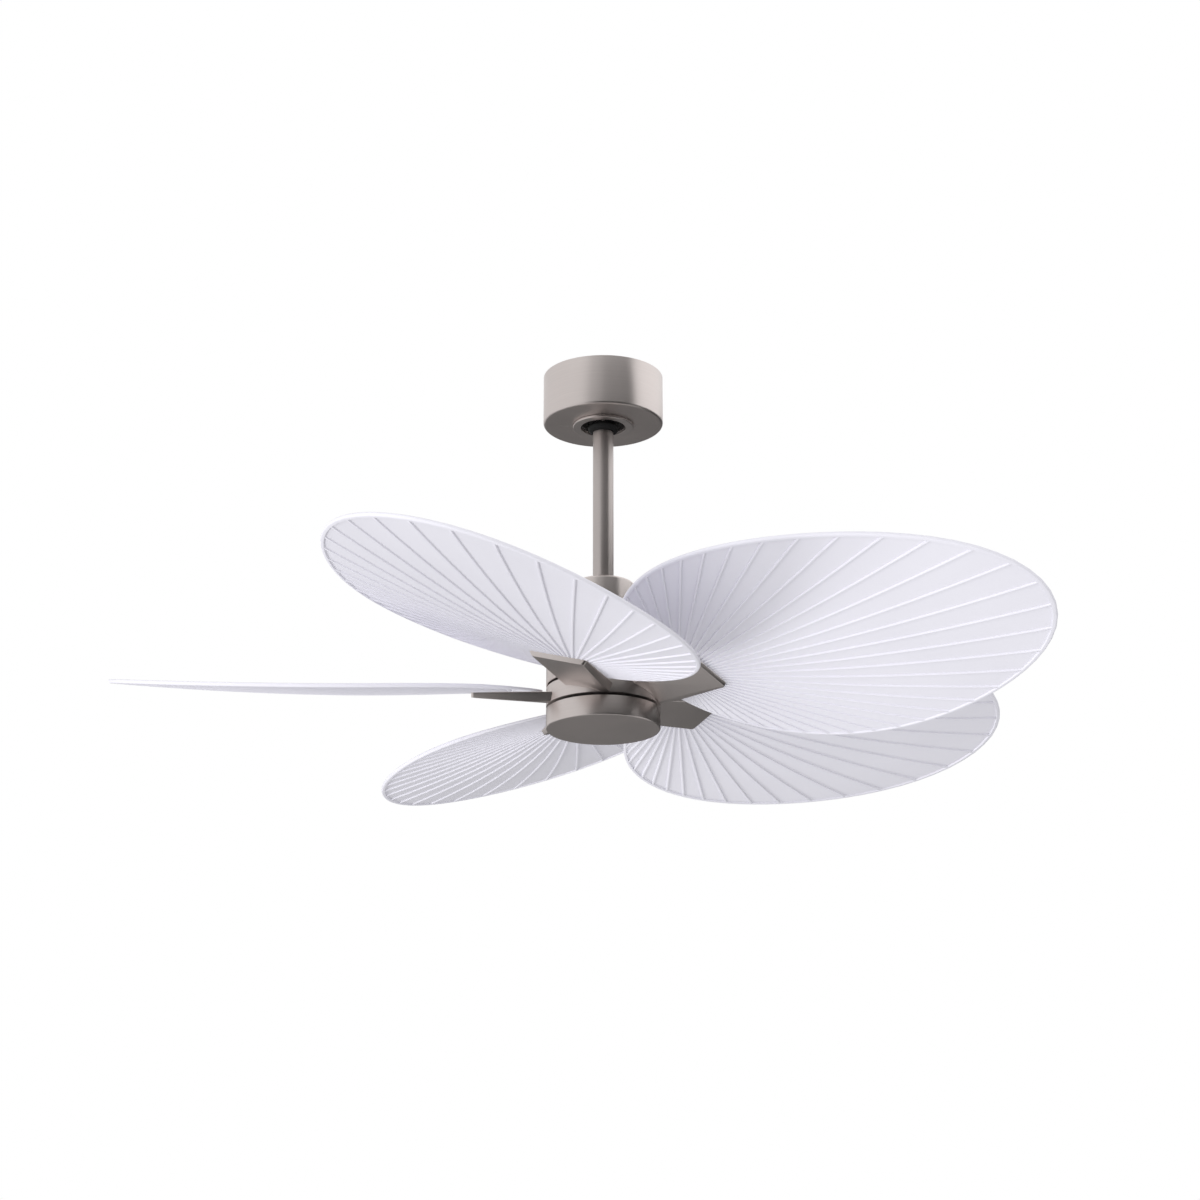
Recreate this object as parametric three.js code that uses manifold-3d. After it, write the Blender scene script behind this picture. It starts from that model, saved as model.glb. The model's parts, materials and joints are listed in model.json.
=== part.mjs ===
// A ceiling fan with five ribbed palm-leaf blades, hung on a short rod from a round canopy.
// Millimetres, +Z up. The origin is the middle of the ceiling plane, so the whole fan is below z = 0.
import * as THREE from 'three';
import { mergeVertices } from 'three/addons/utils/BufferGeometryUtils.js';
import Module from 'manifold-3d';

const wasm = await Module();
wasm.setup();

// ---------------------------------------------------------------- driving dimensions

const GAP = 0.3;                  // air left between two pieces that touch
const DEGREE = Math.PI / 180;

// Smoothness of the round pieces, in sides
const SIDES_LARGE = 28;
const SIDES_HUB_CUT = 32;
const SIDES_MEDIUM = 24;
const SIDES_ROD = 20;
const SIDES_MOTOR = 16;
const SIDES_SHAFT = 12;
const SIDES_PIN = 8;
const SIDES_SCREW = 6;

// Canopy, and the ring that trims its hole
const CANOPY_RADIUS = 82;
const CANOPY_TOP = -0.5;
const CANOPY_BOTTOM = -70.5;
const CANOPY_SHEET = 1.5;
const CANOPY_EDGE = 3.5;          // round edge at the bottom
const CANOPY_HOLE = 31;
const TRIM_INNER = 30.6;
const TRIM_OUTER = 41.7;
const TRIM_DEPTH = 3.5;
const CANOPY_SCREW_AT = 35.5;
const CANOPY_SCREW = { head: 2.7, headHeight: 1.8, shank: 2.1, hole: 2.6, reach: 6.5 };

// Hanger bracket and ball
const PLATE_LENGTH = 130;
const PLATE_WIDTH = 46;
const PLATE_THICK = 2.5;
const SLOT_SPACING = 88.9;        // the usual spacing of a ceiling box's two screws
const SLOT_LENGTH = 14;
const SLOT_WIDTH = 5.5;
const STRAP_INSIDE = 29.6;
const STRAP_THICK = 2.5;
const STRAP_WIDTH = 28;
const FOOT_REACH = 42;
const FOOT_WIDTH = 16;
const BALL_CENTRE = -48;
const BALL_RADIUS = 27;
const BALL_HALF_HEIGHT = 21;
const SEAT_TOP = -57;
const SEAT_BOTTOM = -66.4;
const SEAT_TOP_RADIUS = 26.55;
const SEAT_BOTTOM_RADIUS = 21.3;
const SEAT_OUTER = 30.5;
const KEY_WIDTH = 3.2;
const KEY_REACH = 21.2;
const GROOVE_BOTTOM = 20.2;       // radius of the ball's groove for the key
const RECEIVER = { length: 66, width: 22, height: 22, behind: 54 };

// Downrod, pins and set screws
const ROD_RADIUS = 14;
const ROD_BORE = 12;
const ROD_TOP = -25;
const ROD_LENGTH = 305;           // a 12 inch rod
const PIN_RADIUS = 3;
const BALL_PIN_HEIGHT = -30;
const COUPLING_PIN_HEIGHT = -316;
const SET_SCREW_RADIUS = 2.5;
const BALL_SCREW_HEIGHT = -52;
const ROD_SCREW_HEIGHT = -324;
const SHAFT_SCREW_HEIGHT = -350;
const CLIP_WIRE = 0.9;
const CLIP_AT = 23;

// Coupling and its cover
const COVER_RADIUS = 42;
const COVER_TOP = -300.5;
const COVER_EDGE = 4;
const COVER_HOLE = 15.2;
const COUPLING_RADIUS = 20;
const COUPLING_TOP = -306;
const FLANGE_RADIUS = 30;
const FLANGE_THICK = 4.2;

// Hub: stationary housing above, turning ring in the middle, stationary cap below
const HUB_RADIUS = 75.9;
const HUB_WALL = 2;
const HOUSING_TOP = -367;
const HOUSING_BOTTOM = -444.6;
const HOUSING_SHOULDER = 8;
const HOUSING_TOP_THICK = 3;
const RING_TOP = -448.2;
const RING_BOTTOM = -473.3;
const RING_WALL = 2.9;
const RING_FLOOR = 3;
const CAP_TOP = -477.4;
const CAP_BOTTOM = -504.3;
const CAP_EDGE = 2.5;
const CAP_LIP_INNER = 71;
const CAP_LIP_THICK = 1.5;
const BOTTOM_PLATE_THICK = 2.4;
const NUT = { radius: 14, height: 6.5 };

// Motor: the shaft and the wound core stand still, and two bells turn round them on bearings
const SHAFT_RADIUS = 10;
const SHAFT_END_RADIUS = 8;
const SHAFT_BORE = 4;
const SHAFT_TOP = -338;
const SHAFT_BOTTOM = -492;
const COLLAR_RADIUS = 13;
const COLLAR_HEIGHT = 4;
const BEARING_OUTER = 17;
const BEARING_HEIGHT = 8;
const UPPER_BEARING_TOP = -383;
const LOWER_BEARING_TOP = -434.5;
const CUP_RADIUS = 21;            // round each bearing
const CUP_OPENING = 12.4;
const BELL_RADIUS = 60.5;
const BELL_WALL = 3;
const BELL_TOP = -388;
const BELL_SPLIT = -412;
const BELL_BOTTOM = -434.5;
const MAGNET_INNER = 53.8;
const MAGNET_TOP = -399;
const MAGNET_BOTTOM = -427;
const STATOR_RADIUS = 52.2;
const STATOR_NECK = 47;
const STATOR_YOKE = 24;
const STATOR_TEETH = 12;
const STATOR_TOP = -402;
const STATOR_HEIGHT = 22;
const WINDING_HEIGHT = 6;
const SKIRT_RADIUS = 41;
const SKIRT_WALL = 5;

// Blades: where each one stands, and how it is turned
const BLADE_COUNT = 5;
const FIRST_BLADE_ANGLE = 33.8;   // degrees round from +X
const BLADE_AXIS_HEIGHT = -460.8;
const PITCH = 15.7;               // leading edge up
const CONING = 1.8;               // tip up

// Blade outline: an egg, in the blade's own frame, x along it and y towards its trailing edge
const LEAF_MIDDLE = 370.7;
const LEAF_HALF_LENGTH = 289.3;
const LEAF_HALF_WIDTH = 226.2;
const LEAF_EGG = [1, -0.17, 0.037, 0.042];
const DISH_TO_TIP = 9.7;          // how far the tip stands above the middle
const DISH_TO_ROOT = [17.56, -8.71];  // the root's rise, as the square and the fourth power
const DISH_ACROSS = 7;            // how far the sides stand above the middle
const RIM_HALF_THICK = 2.65;
const RIM_ROOT = { half: 1.25, at: 81.4, from: 150 };  // the rim thins towards the root
const PANEL_HALF_THICK = 1.3;
const RIM_WIDTH = 6;
const RIM_STEP = 1.5;

// Ribs: straight, from a point over the arm out to the rim
const RIB_FOCUS = 122.6;
const RIB_STEP = 360 / 67;
const RIBS_EACH_SIDE = 23;
const RIB_HALF_WIDTH = 1.9;
const ROOT_COLUMNS = 5;           // plain columns behind the last ribs
const PANEL_ROW = 0.48;           // where along a rib the panel has its middle row

// Blade arm
const ARM_END = 173;
const ARM_SEAT_HEIGHT = 4.4;      // height of its top at the outer end, in the blade's frame
const ARM_SEAT_SLOPE = 0.031;
const ARM_BOTTOM_HEIGHT = -2.4;
const ARM_BOTTOM_SLOPE = 0.051;
const ARM_LEAD = { end: 40.8, hub: 37 };
const ARM_TRAIL = { end: 39.3, hub: 36.5 };
const ARM_CORNER = 5;
const ARM_LEAD_SLOPE = { across: { end: 5, hub: 9.9 }, height: { end: 5.6, hub: 12 } };
const ARM_TRAIL_SLOPE = { across: { end: 2.1, hub: 1 }, height: { end: 5.6, hub: 12 } };
const SEAT_FROM = 93;
const SEAT_MARGIN = 1.5;
const SEAT_THICK = 4.2;
const TONGUE = { from: 48, to: 92, half: 25, bottom: -4, top: 2 };
const TONGUE_SLOT = { from: 66, clearance: 0.4 };
const PAD = { from: 51, to: 65.5, half: 12 };
const BLADE_SCREWS = [[152, -20], [152, 20], [118, 0]];
const BLADE_SCREW = { head: 5, headHeight: 2.4, shank: 2.1, hole: 3, reach: 5 };
const ARM_SCREW = { at: 58, head: 4.6, headHeight: 3, shank: 2.1, hole: 3, reach: 12.5 };

// ---------------------------------------------------------------- materials

const brushedNickel = { color: 0x9a948e, roughness: 0.34, metalness: 1 };
const zincPlate = { color: 0x8d9094, roughness: 0.45, metalness: 1 };
const blackEnamel = { color: 0x17171a, roughness: 0.55, metalness: 0.2 };
const castAluminium = { color: 0xa4a6a8, roughness: 0.55, metalness: 1 };
const electricalSteel = { color: 0x6f7276, roughness: 0.5, metalness: 1 };
const copperWire = { color: 0xa4592f, roughness: 0.4, metalness: 0.9 };
const ferrite = { color: 0x2b2c30, roughness: 0.8, metalness: 0.1 };
const leafWhite = { color: 0xe6e4ee, roughness: 0.5, metalness: 0 };
const bearingSteel = { color: 0xb4b8bc, roughness: 0.25, metalness: 1 };
const blackPlastic = { color: 0x1d1d1f, roughness: 0.6, metalness: 0 };

// ---------------------------------------------------------------- working with meshes

// Keeps positions only, welds equal corners, drops empty triangles and turns the faces outwards
function tidied(geometry) {
  const bare = new THREE.BufferGeometry();
  bare.setAttribute('position', geometry.getAttribute('position').clone());
  if (geometry.index) bare.setIndex(geometry.index.clone());
  const welded = mergeVertices(bare, 1e-4);
  const corners = welded.index.array;
  const place = welded.getAttribute('position');
  const kept = [];
  let volume = 0;
  const [a, b, c] = [new THREE.Vector3(), new THREE.Vector3(), new THREE.Vector3()];
  for (let i = 0; i < corners.length; i += 3) {
    const [p, q, r] = [corners[i], corners[i + 1], corners[i + 2]];
    if (p === q || q === r || r === p) continue;
    kept.push(p, q, r);
    a.fromBufferAttribute(place, p);
    b.fromBufferAttribute(place, q);
    c.fromBufferAttribute(place, r);
    volume += a.dot(b.cross(c));
  }
  if (volume < 0) kept.reverse();
  welded.setIndex(kept);
  welded.computeVertexNormals();
  return welded;
}

function solidOf(geometry) {
  const clean = tidied(geometry);
  const mesh = new wasm.Mesh({
    numProp: 3,
    vertProperties: new Float32Array(clean.getAttribute('position').array),
    triVerts: new Uint32Array(clean.index.array),
  });
  return new wasm.Manifold(mesh);
}

function geometryOf(solid) {
  const mesh = solid.getMesh();
  const geometry = new THREE.BufferGeometry();
  geometry.setAttribute('position', new THREE.BufferAttribute(mesh.vertProperties, 3));
  geometry.setIndex(new THREE.BufferAttribute(mesh.triVerts, 1));
  return tidied(geometry);
}

function joined(...geometries) {
  return geometryOf(geometries.map(solidOf).reduce((whole, piece) => whole.add(piece)));
}

function cut(geometry, ...tools) {
  return geometryOf(tools.map(solidOf).reduce((left, tool) => left.subtract(tool), solidOf(geometry)));
}

function common(geometry, tool) {
  return geometryOf(solidOf(geometry).intersect(solidOf(tool)));
}

// ---------------------------------------------------------------- basic shapes

// Turns a closed profile of [radius, z] points about the Z axis
function turned(profile, sides) {
  const points = profile.map(([radius, height]) => new THREE.Vector2(radius, height));
  const onAxis = profile[0][0] === 0 && profile.at(-1)[0] === 0;
  if (!onAxis) points.push(points[0].clone());
  return tidied(new THREE.LatheGeometry(points, sides).rotateX(90 * DEGREE));
}

// A quarter-round edge between two profile points, as [radius, z] points
function roundEdge(centreRadius, centreHeight, radius, fromDegrees, toDegrees, steps) {
  return Array.from({ length: steps + 1 }, (_, i) => {
    const angle = (fromDegrees + ((toDegrees - fromDegrees) * i) / steps) * DEGREE;
    return [centreRadius + radius * Math.cos(angle), centreHeight + radius * Math.sin(angle)];
  });
}

// A box from its lowest to its highest corner
function block([x0, y0, z0], [x1, y1, z1]) {
  const box = new THREE.BoxGeometry(x1 - x0, y1 - y0, z1 - z0);
  return box.translate((x0 + x1) / 2, (y0 + y1) / 2, (z0 + z1) / 2);
}

// A round bar along 'x', 'y' or 'z', from one place on that axis to another
function bar(axis, from, to, radius, sides) {
  const cylinder = new THREE.CylinderGeometry(radius, radius, to - from, sides);
  if (axis === 'x') cylinder.rotateZ(-90 * DEGREE).translate((from + to) / 2, 0, 0);
  if (axis === 'y') cylinder.translate(0, (from + to) / 2, 0);
  if (axis === 'z') cylinder.rotateX(90 * DEGREE).translate(0, 0, (from + to) / 2);
  return cylinder;
}

// A screw with its head's underside at z = 0 and its shank pointing down
function screw({ head, headHeight, shank, reach }) {
  return turned([[0, -reach], [shank, -reach], [shank, 0], [head, 0], [head, headHeight], [0, headHeight]],
    SIDES_SCREW);
}

// An upright plate of a flat outline, from one height to another
function plate(shape, from, to, curveSegments = 6) {
  return new THREE.ExtrudeGeometry(shape, { depth: to - from, bevelEnabled: false, curveSegments })
    .translate(0, 0, from);
}

function stadium(path, centreX, length, width) {
  const half = length / 2 - width / 2;
  path.absarc(centreX + half, 0, width / 2, -90 * DEGREE, 90 * DEGREE, false);
  path.absarc(centreX - half, 0, width / 2, 90 * DEGREE, 270 * DEGREE, false);
  path.closePath();
  return path;
}

// ---------------------------------------------------------------- ceiling end

const canopyFloor = CANOPY_BOTTOM + CANOPY_SHEET;

// A folded steel bracket: slotted plate, two straps, an open seat for the ball and two feet
function hangerBracket() {
  const outline = stadium(new THREE.Shape(), 0, PLATE_LENGTH, PLATE_WIDTH);
  for (const side of [-1, 1]) {
    outline.holes.push(stadium(new THREE.Path(), (side * SLOT_SPACING) / 2, SLOT_LENGTH, SLOT_WIDTH));
  }
  const footTop = SEAT_BOTTOM - 0.1;
  const footBottom = canopyFloor + GAP;
  const pieces = [plate(outline, -PLATE_THICK, 0, 4)];
  const threads = [];
  for (const side of [-1, 1]) {
    const strap = block(
      [STRAP_INSIDE, -STRAP_WIDTH / 2, footBottom],
      [STRAP_INSIDE + STRAP_THICK, STRAP_WIDTH / 2, -PLATE_THICK / 2],
    );
    const foot = block([STRAP_INSIDE, -FOOT_WIDTH / 2, footBottom], [FOOT_REACH, FOOT_WIDTH / 2, footTop]);
    const thread = bar('z', footBottom - 1, footTop + 1, CANOPY_SCREW.hole, SIDES_SCREW);
    const half = side < 0 ? 180 * DEGREE : 0;
    pieces.push(strap.rotateZ(half), foot.rotateZ(half));
    threads.push(thread.translate(side * CANOPY_SCREW_AT, 0, 0));
  }
  pieces.push(turned([
    [SEAT_BOTTOM_RADIUS, SEAT_BOTTOM], [SEAT_OUTER, SEAT_BOTTOM],
    [SEAT_OUTER, SEAT_TOP], [SEAT_TOP_RADIUS, SEAT_TOP],
  ], SIDES_MEDIUM));
  const key = block(
    [-KEY_WIDTH / 2, -SEAT_OUTER + 2, SEAT_TOP - 7],
    [KEY_WIDTH / 2, -KEY_REACH, SEAT_TOP - 3],
  );
  const mouthHalf = ROD_RADIUS + 1;
  const mouth = block([-mouthHalf, 0, SEAT_BOTTOM - 5], [mouthHalf, SEAT_OUTER + 10, SEAT_TOP + 5]);
  return cut(joined(...pieces, key), mouth, ...threads);
}

function canopy() {
  const inner = CANOPY_RADIUS - CANOPY_SHEET;
  const shell = turned([
    [CANOPY_RADIUS, CANOPY_TOP],
    [inner, CANOPY_TOP],
    [inner, canopyFloor],
    [CANOPY_HOLE, canopyFloor],
    [CANOPY_HOLE, CANOPY_BOTTOM],
    ...roundEdge(CANOPY_RADIUS - CANOPY_EDGE, CANOPY_BOTTOM + CANOPY_EDGE, CANOPY_EDGE, 270, 360, 3),
  ], SIDES_LARGE);
  const holes = [-1, 1].map((side) => (
    bar('z', CANOPY_BOTTOM - 1, canopyFloor + 1, CANOPY_SCREW.hole, SIDES_SCREW)
      .translate(side * CANOPY_SCREW_AT, 0, 0)));
  return cut(shell, ...holes);
}

// A ring with a sloping edge, hollow above, that hides the two canopy screws
function canopyTrimRing() {
  const top = CANOPY_BOTTOM - GAP;
  const bottom = CANOPY_BOTTOM - TRIM_DEPTH;
  const [sheet, slope] = [1.2, 1.6];
  return turned([
    [TRIM_INNER, bottom],
    [TRIM_OUTER - slope, bottom],
    [TRIM_OUTER, bottom + slope],
    [TRIM_OUTER, top],
    [TRIM_OUTER - sheet, top],
    [TRIM_OUTER - sheet - slope, bottom + sheet],
    [TRIM_INNER + sheet, bottom + sheet],
    [TRIM_INNER + sheet, top],
    [TRIM_INNER, top],
  ], SIDES_MEDIUM);
}

function canopyScrew() {
  return screw(CANOPY_SCREW).rotateX(180 * DEGREE).translate(0, 0, CANOPY_BOTTOM - GAP);
}

// The radio receiver lies on the canopy's floor behind the ball
function receiverModule() {
  const { length, width, height, behind } = RECEIVER;
  const outline = stadium(new THREE.Shape(), 0, length, width);
  return tidied(plate(outline, canopyFloor + GAP, canopyFloor + GAP + height, 4)).translate(0, behind, 0);
}

// ---------------------------------------------------------------- ball and rod

const rodBottom = ROD_TOP - ROD_LENGTH;

// A hole right through a piece along X, with room for a pin
function pinHole(height) {
  return bar('x', -40, 40, PIN_RADIUS + 0.4, SIDES_PIN).translate(0, 0, height);
}

// A hole from the middle of a piece towards +Y, with room for a set screw
function setScrewHole(height) {
  return bar('y', 0, 40, SET_SCREW_RADIUS + 0.4, SIDES_PIN).translate(0, 0, height);
}

function setScrew(from, to, height) {
  return bar('y', from, to, SET_SCREW_RADIUS, SIDES_PIN).translate(0, 0, height);
}

// A ball with flat ends, bored for the rod, with a groove that slides along the seat's key
function hangerBall() {
  const bore = ROD_RADIUS + 0.5;
  const edge = Math.asin(BALL_HALF_HEIGHT / BALL_RADIUS) / DEGREE;
  const ball = turned([
    [bore, BALL_CENTRE - BALL_HALF_HEIGHT],
    ...roundEdge(0, BALL_CENTRE, BALL_RADIUS, -edge, edge, 6),
    [bore, BALL_CENTRE + BALL_HALF_HEIGHT],
  ], SIDES_ROD);
  const grooveHalf = KEY_WIDTH / 2 + 0.6;
  const groove = cut(
    block(
      [-grooveHalf, -BALL_RADIUS - 5, BALL_CENTRE - BALL_RADIUS],
      [grooveHalf, -5, BALL_CENTRE + BALL_RADIUS],
    ),
    bar('x', -10, 10, GROOVE_BOTTOM, SIDES_MEDIUM).translate(0, 0, BALL_CENTRE),
  );
  return cut(ball, groove, pinHole(BALL_PIN_HEIGHT), setScrewHole(BALL_SCREW_HEIGHT));
}

// It passes through the rod, and the ball's bore holds its ends
function ballCrossPin() {
  return bar('x', -19, 19, PIN_RADIUS, SIDES_PIN).translate(0, 0, BALL_PIN_HEIGHT);
}

function downrod() {
  const tube = turned([
    [ROD_BORE, rodBottom], [ROD_RADIUS, rodBottom], [ROD_RADIUS, ROD_TOP], [ROD_BORE, ROD_TOP],
  ], SIDES_ROD);
  return cut(tube, pinHole(BALL_PIN_HEIGHT), pinHole(COUPLING_PIN_HEIGHT));
}

// ---------------------------------------------------------------- coupling

// A socket for the rod above and for the shaft's end below, on a flange that stands on the housing
function motorCoupling() {
  const base = HOUSING_TOP + GAP;
  const rodStop = rodBottom - 2 * GAP;
  const body = turned([
    [SHAFT_END_RADIUS + 0.4, base],
    [FLANGE_RADIUS, base],
    [FLANGE_RADIUS, base + FLANGE_THICK],
    [COUPLING_RADIUS, base + FLANGE_THICK],
    [COUPLING_RADIUS, COUPLING_TOP],
    [ROD_RADIUS + 0.5, COUPLING_TOP],
    [ROD_RADIUS + 0.5, rodStop],
    [SHAFT_END_RADIUS + 0.4, rodStop],
  ], SIDES_ROD);
  const screwHoles = [ROD_SCREW_HEIGHT, SHAFT_SCREW_HEIGHT].map(setScrewHole);
  return cut(body, pinHole(COUPLING_PIN_HEIGHT), ...screwHoles);
}

// A headed pin with a cross hole for the clip
function clevisPin() {
  const headStart = -COUPLING_RADIUS - 3.5;
  const pin = joined(
    bar('x', headStart - 0.5, COUPLING_RADIUS + 6, PIN_RADIUS, SIDES_PIN),
    bar('x', headStart - 3, headStart, PIN_RADIUS + 1.6, SIDES_PIN),
  );
  const clipHole = bar('z', -10, 10, CLIP_WIRE + 0.5, SIDES_SCREW).translate(CLIP_AT, 0, 0);
  return cut(pin, clipHole).translate(0, 0, COUPLING_PIN_HEIGHT);
}

// A bent wire: one leg goes through the pin, and the other springs round its end
function hairpinClip() {
  const route = new THREE.CatmullRomCurve3([
    [0, 9], [0, 3], [0, -3], [0.4, -9], [3, -12.5], [6, -9], [5.4, -4], [4.8, 0], [5.4, 5], [7, 9],
  ].map(([out, up]) => new THREE.Vector3(CLIP_AT + out, 0, up)));
  const wire = new THREE.Shape().absarc(0, 0, CLIP_WIRE, 0, 360 * DEGREE);
  return tidied(new THREE.ExtrudeGeometry(wire, { extrudePath: route, steps: 14, curveSegments: 2 }))
    .translate(0, 0, COUPLING_PIN_HEIGHT);
}

function couplingCover() {
  const inner = COVER_RADIUS - CANOPY_SHEET;
  const bottom = HOUSING_TOP + GAP;
  return turned([
    [COVER_HOLE, COVER_TOP],
    [COVER_HOLE, COVER_TOP - CANOPY_SHEET],
    [inner, COVER_TOP - CANOPY_SHEET - 1],
    [inner, bottom],
    [COVER_RADIUS, bottom],
    ...roundEdge(COVER_RADIUS - COVER_EDGE, COVER_TOP - COVER_EDGE, COVER_EDGE, 0, 90, 3),
  ], SIDES_MEDIUM);
}

// ---------------------------------------------------------------- hub

const shaftHole = SHAFT_END_RADIUS + 0.4;
const capLipBottom = CAP_TOP - CAP_LIP_THICK;
const plateTop = capLipBottom - GAP;
const plateBottom = plateTop - BOTTOM_PLATE_THICK;

function upperHousing() {
  const inner = HUB_RADIUS - HUB_WALL;
  const underTop = HOUSING_TOP - HOUSING_TOP_THICK;
  return turned([
    [shaftHole, HOUSING_TOP],
    [shaftHole, underTop],
    [inner - HOUSING_SHOULDER / 2, underTop],
    [inner, underTop - HOUSING_SHOULDER / 2],
    [inner, HOUSING_BOTTOM],
    [HUB_RADIUS, HOUSING_BOTTOM],
    ...roundEdge(HUB_RADIUS - HOUSING_SHOULDER, HOUSING_TOP - HOUSING_SHOULDER, HOUSING_SHOULDER, 0, 90, 3),
  ], SIDES_LARGE);
}

// One casting that turns: the outer wall with its floor, five sloping pads for the arms' tongues with
// a slot through the wall beside each, and the skirt and lower bell that carry it all on the bearing
function rotorRing() {
  const floorTop = RING_BOTTOM + RING_FLOOR;
  const ring = turned([
    [SKIRT_RADIUS - SKIRT_WALL / 2, RING_BOTTOM],
    [HUB_RADIUS - 0.6, RING_BOTTOM],
    [HUB_RADIUS, RING_BOTTOM + 0.6],
    [HUB_RADIUS, RING_TOP],
    [HUB_RADIUS - RING_WALL, RING_TOP],
    [HUB_RADIUS - RING_WALL, floorTop],
    [SKIRT_RADIUS - SKIRT_WALL / 2, floorTop],
  ], SIDES_LARGE);
  const slab = block([-100, -100, floorTop - RING_FLOOR / 2], [100, 100, RING_TOP]);
  const room = TONGUE_SLOT.clearance;
  const pads = [];
  const tools = [];
  for (let i = 0; i < BLADE_COUNT; i += 1) {
    const pose = bladePose(i);
    const wedge = block([PAD.from, -PAD.half, -30], [PAD.to, PAD.half, TONGUE.bottom - GAP]);
    const slot = block(
      [TONGUE_SLOT.from, -TONGUE.half - room, TONGUE.bottom - room],
      [TONGUE.to, TONGUE.half + room, TONGUE.top + room],
    );
    const thread = bar('z', -ARM_SCREW.reach, TONGUE.top, ARM_SCREW.hole, SIDES_SCREW);
    pads.push(common(wedge.applyMatrix4(pose), slab));
    tools.push(slot.applyMatrix4(pose), thread.translate(ARM_SCREW.at, 0, 0).applyMatrix4(pose));
  }
  return cut(joined(ring, lowerBell(), ...pads), ...tools);
}

// The lower half of the rotor: wall, disc, bearing cup below it, and the skirt down to the ring
function lowerBell() {
  const inner = BELL_RADIUS - BELL_WALL;
  const seat = BEARING_OUTER + GAP;
  const cupFloor = LOWER_BEARING_TOP - BEARING_HEIGHT - GAP;
  return turned([
    [CUP_OPENING, cupFloor - BELL_WALL],
    [CUP_RADIUS, cupFloor - BELL_WALL],
    [CUP_RADIUS, BELL_BOTTOM],
    [SKIRT_RADIUS - SKIRT_WALL, BELL_BOTTOM],
    [SKIRT_RADIUS - SKIRT_WALL, RING_BOTTOM],
    [SKIRT_RADIUS, RING_BOTTOM],
    [SKIRT_RADIUS, BELL_BOTTOM],
    [BELL_RADIUS, BELL_BOTTOM],
    [BELL_RADIUS, BELL_SPLIT - GAP],
    [inner, BELL_SPLIT - GAP],
    [inner, BELL_BOTTOM + BELL_WALL],
    [seat, BELL_BOTTOM + BELL_WALL],
    [seat, cupFloor],
    [CUP_OPENING, cupFloor],
  ], SIDES_MOTOR);
}

function bottomCap() {
  const inner = HUB_RADIUS - HUB_WALL;
  const floor = CAP_BOTTOM + HUB_WALL;
  return turned([
    [0, CAP_BOTTOM],
    ...roundEdge(HUB_RADIUS - CAP_EDGE, CAP_BOTTOM + CAP_EDGE, CAP_EDGE, 270, 360, 3),
    [HUB_RADIUS, CAP_TOP],
    [CAP_LIP_INNER, CAP_TOP],
    [CAP_LIP_INNER, capLipBottom],
    [inner, capLipBottom],
    [inner, floor],
    [0, floor],
  ], SIDES_LARGE);
}

// The cap hangs by its lip on this plate, which the nut holds up against the shaft's shoulder
function bottomPlate() {
  const edge = HUB_RADIUS - HUB_WALL - 0.8;
  return turned([[shaftHole, plateTop], [shaftHole, plateBottom], [edge, plateBottom], [edge, plateTop]],
    SIDES_MEDIUM);
}

function shaftNut() {
  const top = plateBottom - GAP;
  const nut = bar('z', top - NUT.height, top, NUT.radius, SIDES_SCREW);
  return cut(nut, bar('z', top - NUT.height - 1, top + 1, shaftHole, SIDES_MOTOR));
}

// ---------------------------------------------------------------- motor

// Its collar carries the upper bearing, and its two shoulders meet the housing and the bottom plate
function motorShaft() {
  const collarTop = UPPER_BEARING_TOP - BEARING_HEIGHT - GAP;
  const upperShoulder = HOUSING_TOP - HOUSING_TOP_THICK - GAP;
  return turned([
    [SHAFT_BORE, SHAFT_TOP],
    [SHAFT_BORE, SHAFT_BOTTOM],
    [SHAFT_END_RADIUS, SHAFT_BOTTOM],
    [SHAFT_END_RADIUS, capLipBottom],
    [SHAFT_RADIUS, capLipBottom],
    [SHAFT_RADIUS, collarTop - COLLAR_HEIGHT],
    [COLLAR_RADIUS, collarTop - COLLAR_HEIGHT],
    [COLLAR_RADIUS, collarTop],
    [SHAFT_RADIUS, collarTop],
    [SHAFT_RADIUS, upperShoulder],
    [SHAFT_END_RADIUS, upperShoulder],
    [SHAFT_END_RADIUS, SHAFT_TOP],
  ], SIDES_SHAFT);
}

function bearing(top) {
  const bottom = top - BEARING_HEIGHT;
  const inner = SHAFT_RADIUS + 0.4;
  return turned([[inner, bottom], [BEARING_OUTER, bottom], [BEARING_OUTER, top], [inner, top]], SIDES_MOTOR);
}

// One iron core with twelve teeth, each narrow at the neck and ending in a wide shoe
function statorCore() {
  const shoeFoot = STATOR_NECK + 1.5;
  const tooth = [
    [STATOR_YOKE, -8.5], [STATOR_NECK, -4.3], [shoeFoot, -12], [STATOR_RADIUS, -12],
    [STATOR_RADIUS, 12], [shoeFoot, 12], [STATOR_NECK, 4.3], [STATOR_YOKE, 8.5],
  ];
  const outline = new THREE.Shape();
  for (let i = 0; i < STATOR_TEETH; i += 1) {
    tooth.forEach(([radius, offset], corner) => {
      const angle = ((360 / STATOR_TEETH) * i + offset) * DEGREE;
      const [x, y] = [radius * Math.cos(angle), radius * Math.sin(angle)];
      if (i === 0 && corner === 0) outline.moveTo(x, y);
      else outline.lineTo(x, y);
    });
  }
  outline.closePath();
  outline.holes.push(new THREE.Path().absarc(0, 0, SHAFT_RADIUS + 0.4, 0, 360 * DEGREE, true));
  return tidied(plate(outline, STATOR_TOP - STATOR_HEIGHT, STATOR_TOP, SIDES_SCREW));
}

// The copper that stands out of the core's slots, above it or below it
function windingEnd(direction) {
  const face = direction > 0 ? STATOR_TOP : STATOR_TOP - STATOR_HEIGHT;
  const [from, to] = [face + direction * GAP, face + direction * WINDING_HEIGHT];
  const [inside, outside] = [STATOR_YOKE + 4, STATOR_NECK - 2];
  return turned([[inside, from], [outside, from], [outside - 2, to], [inside + 2, to]], SIDES_MOTOR);
}

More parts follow.
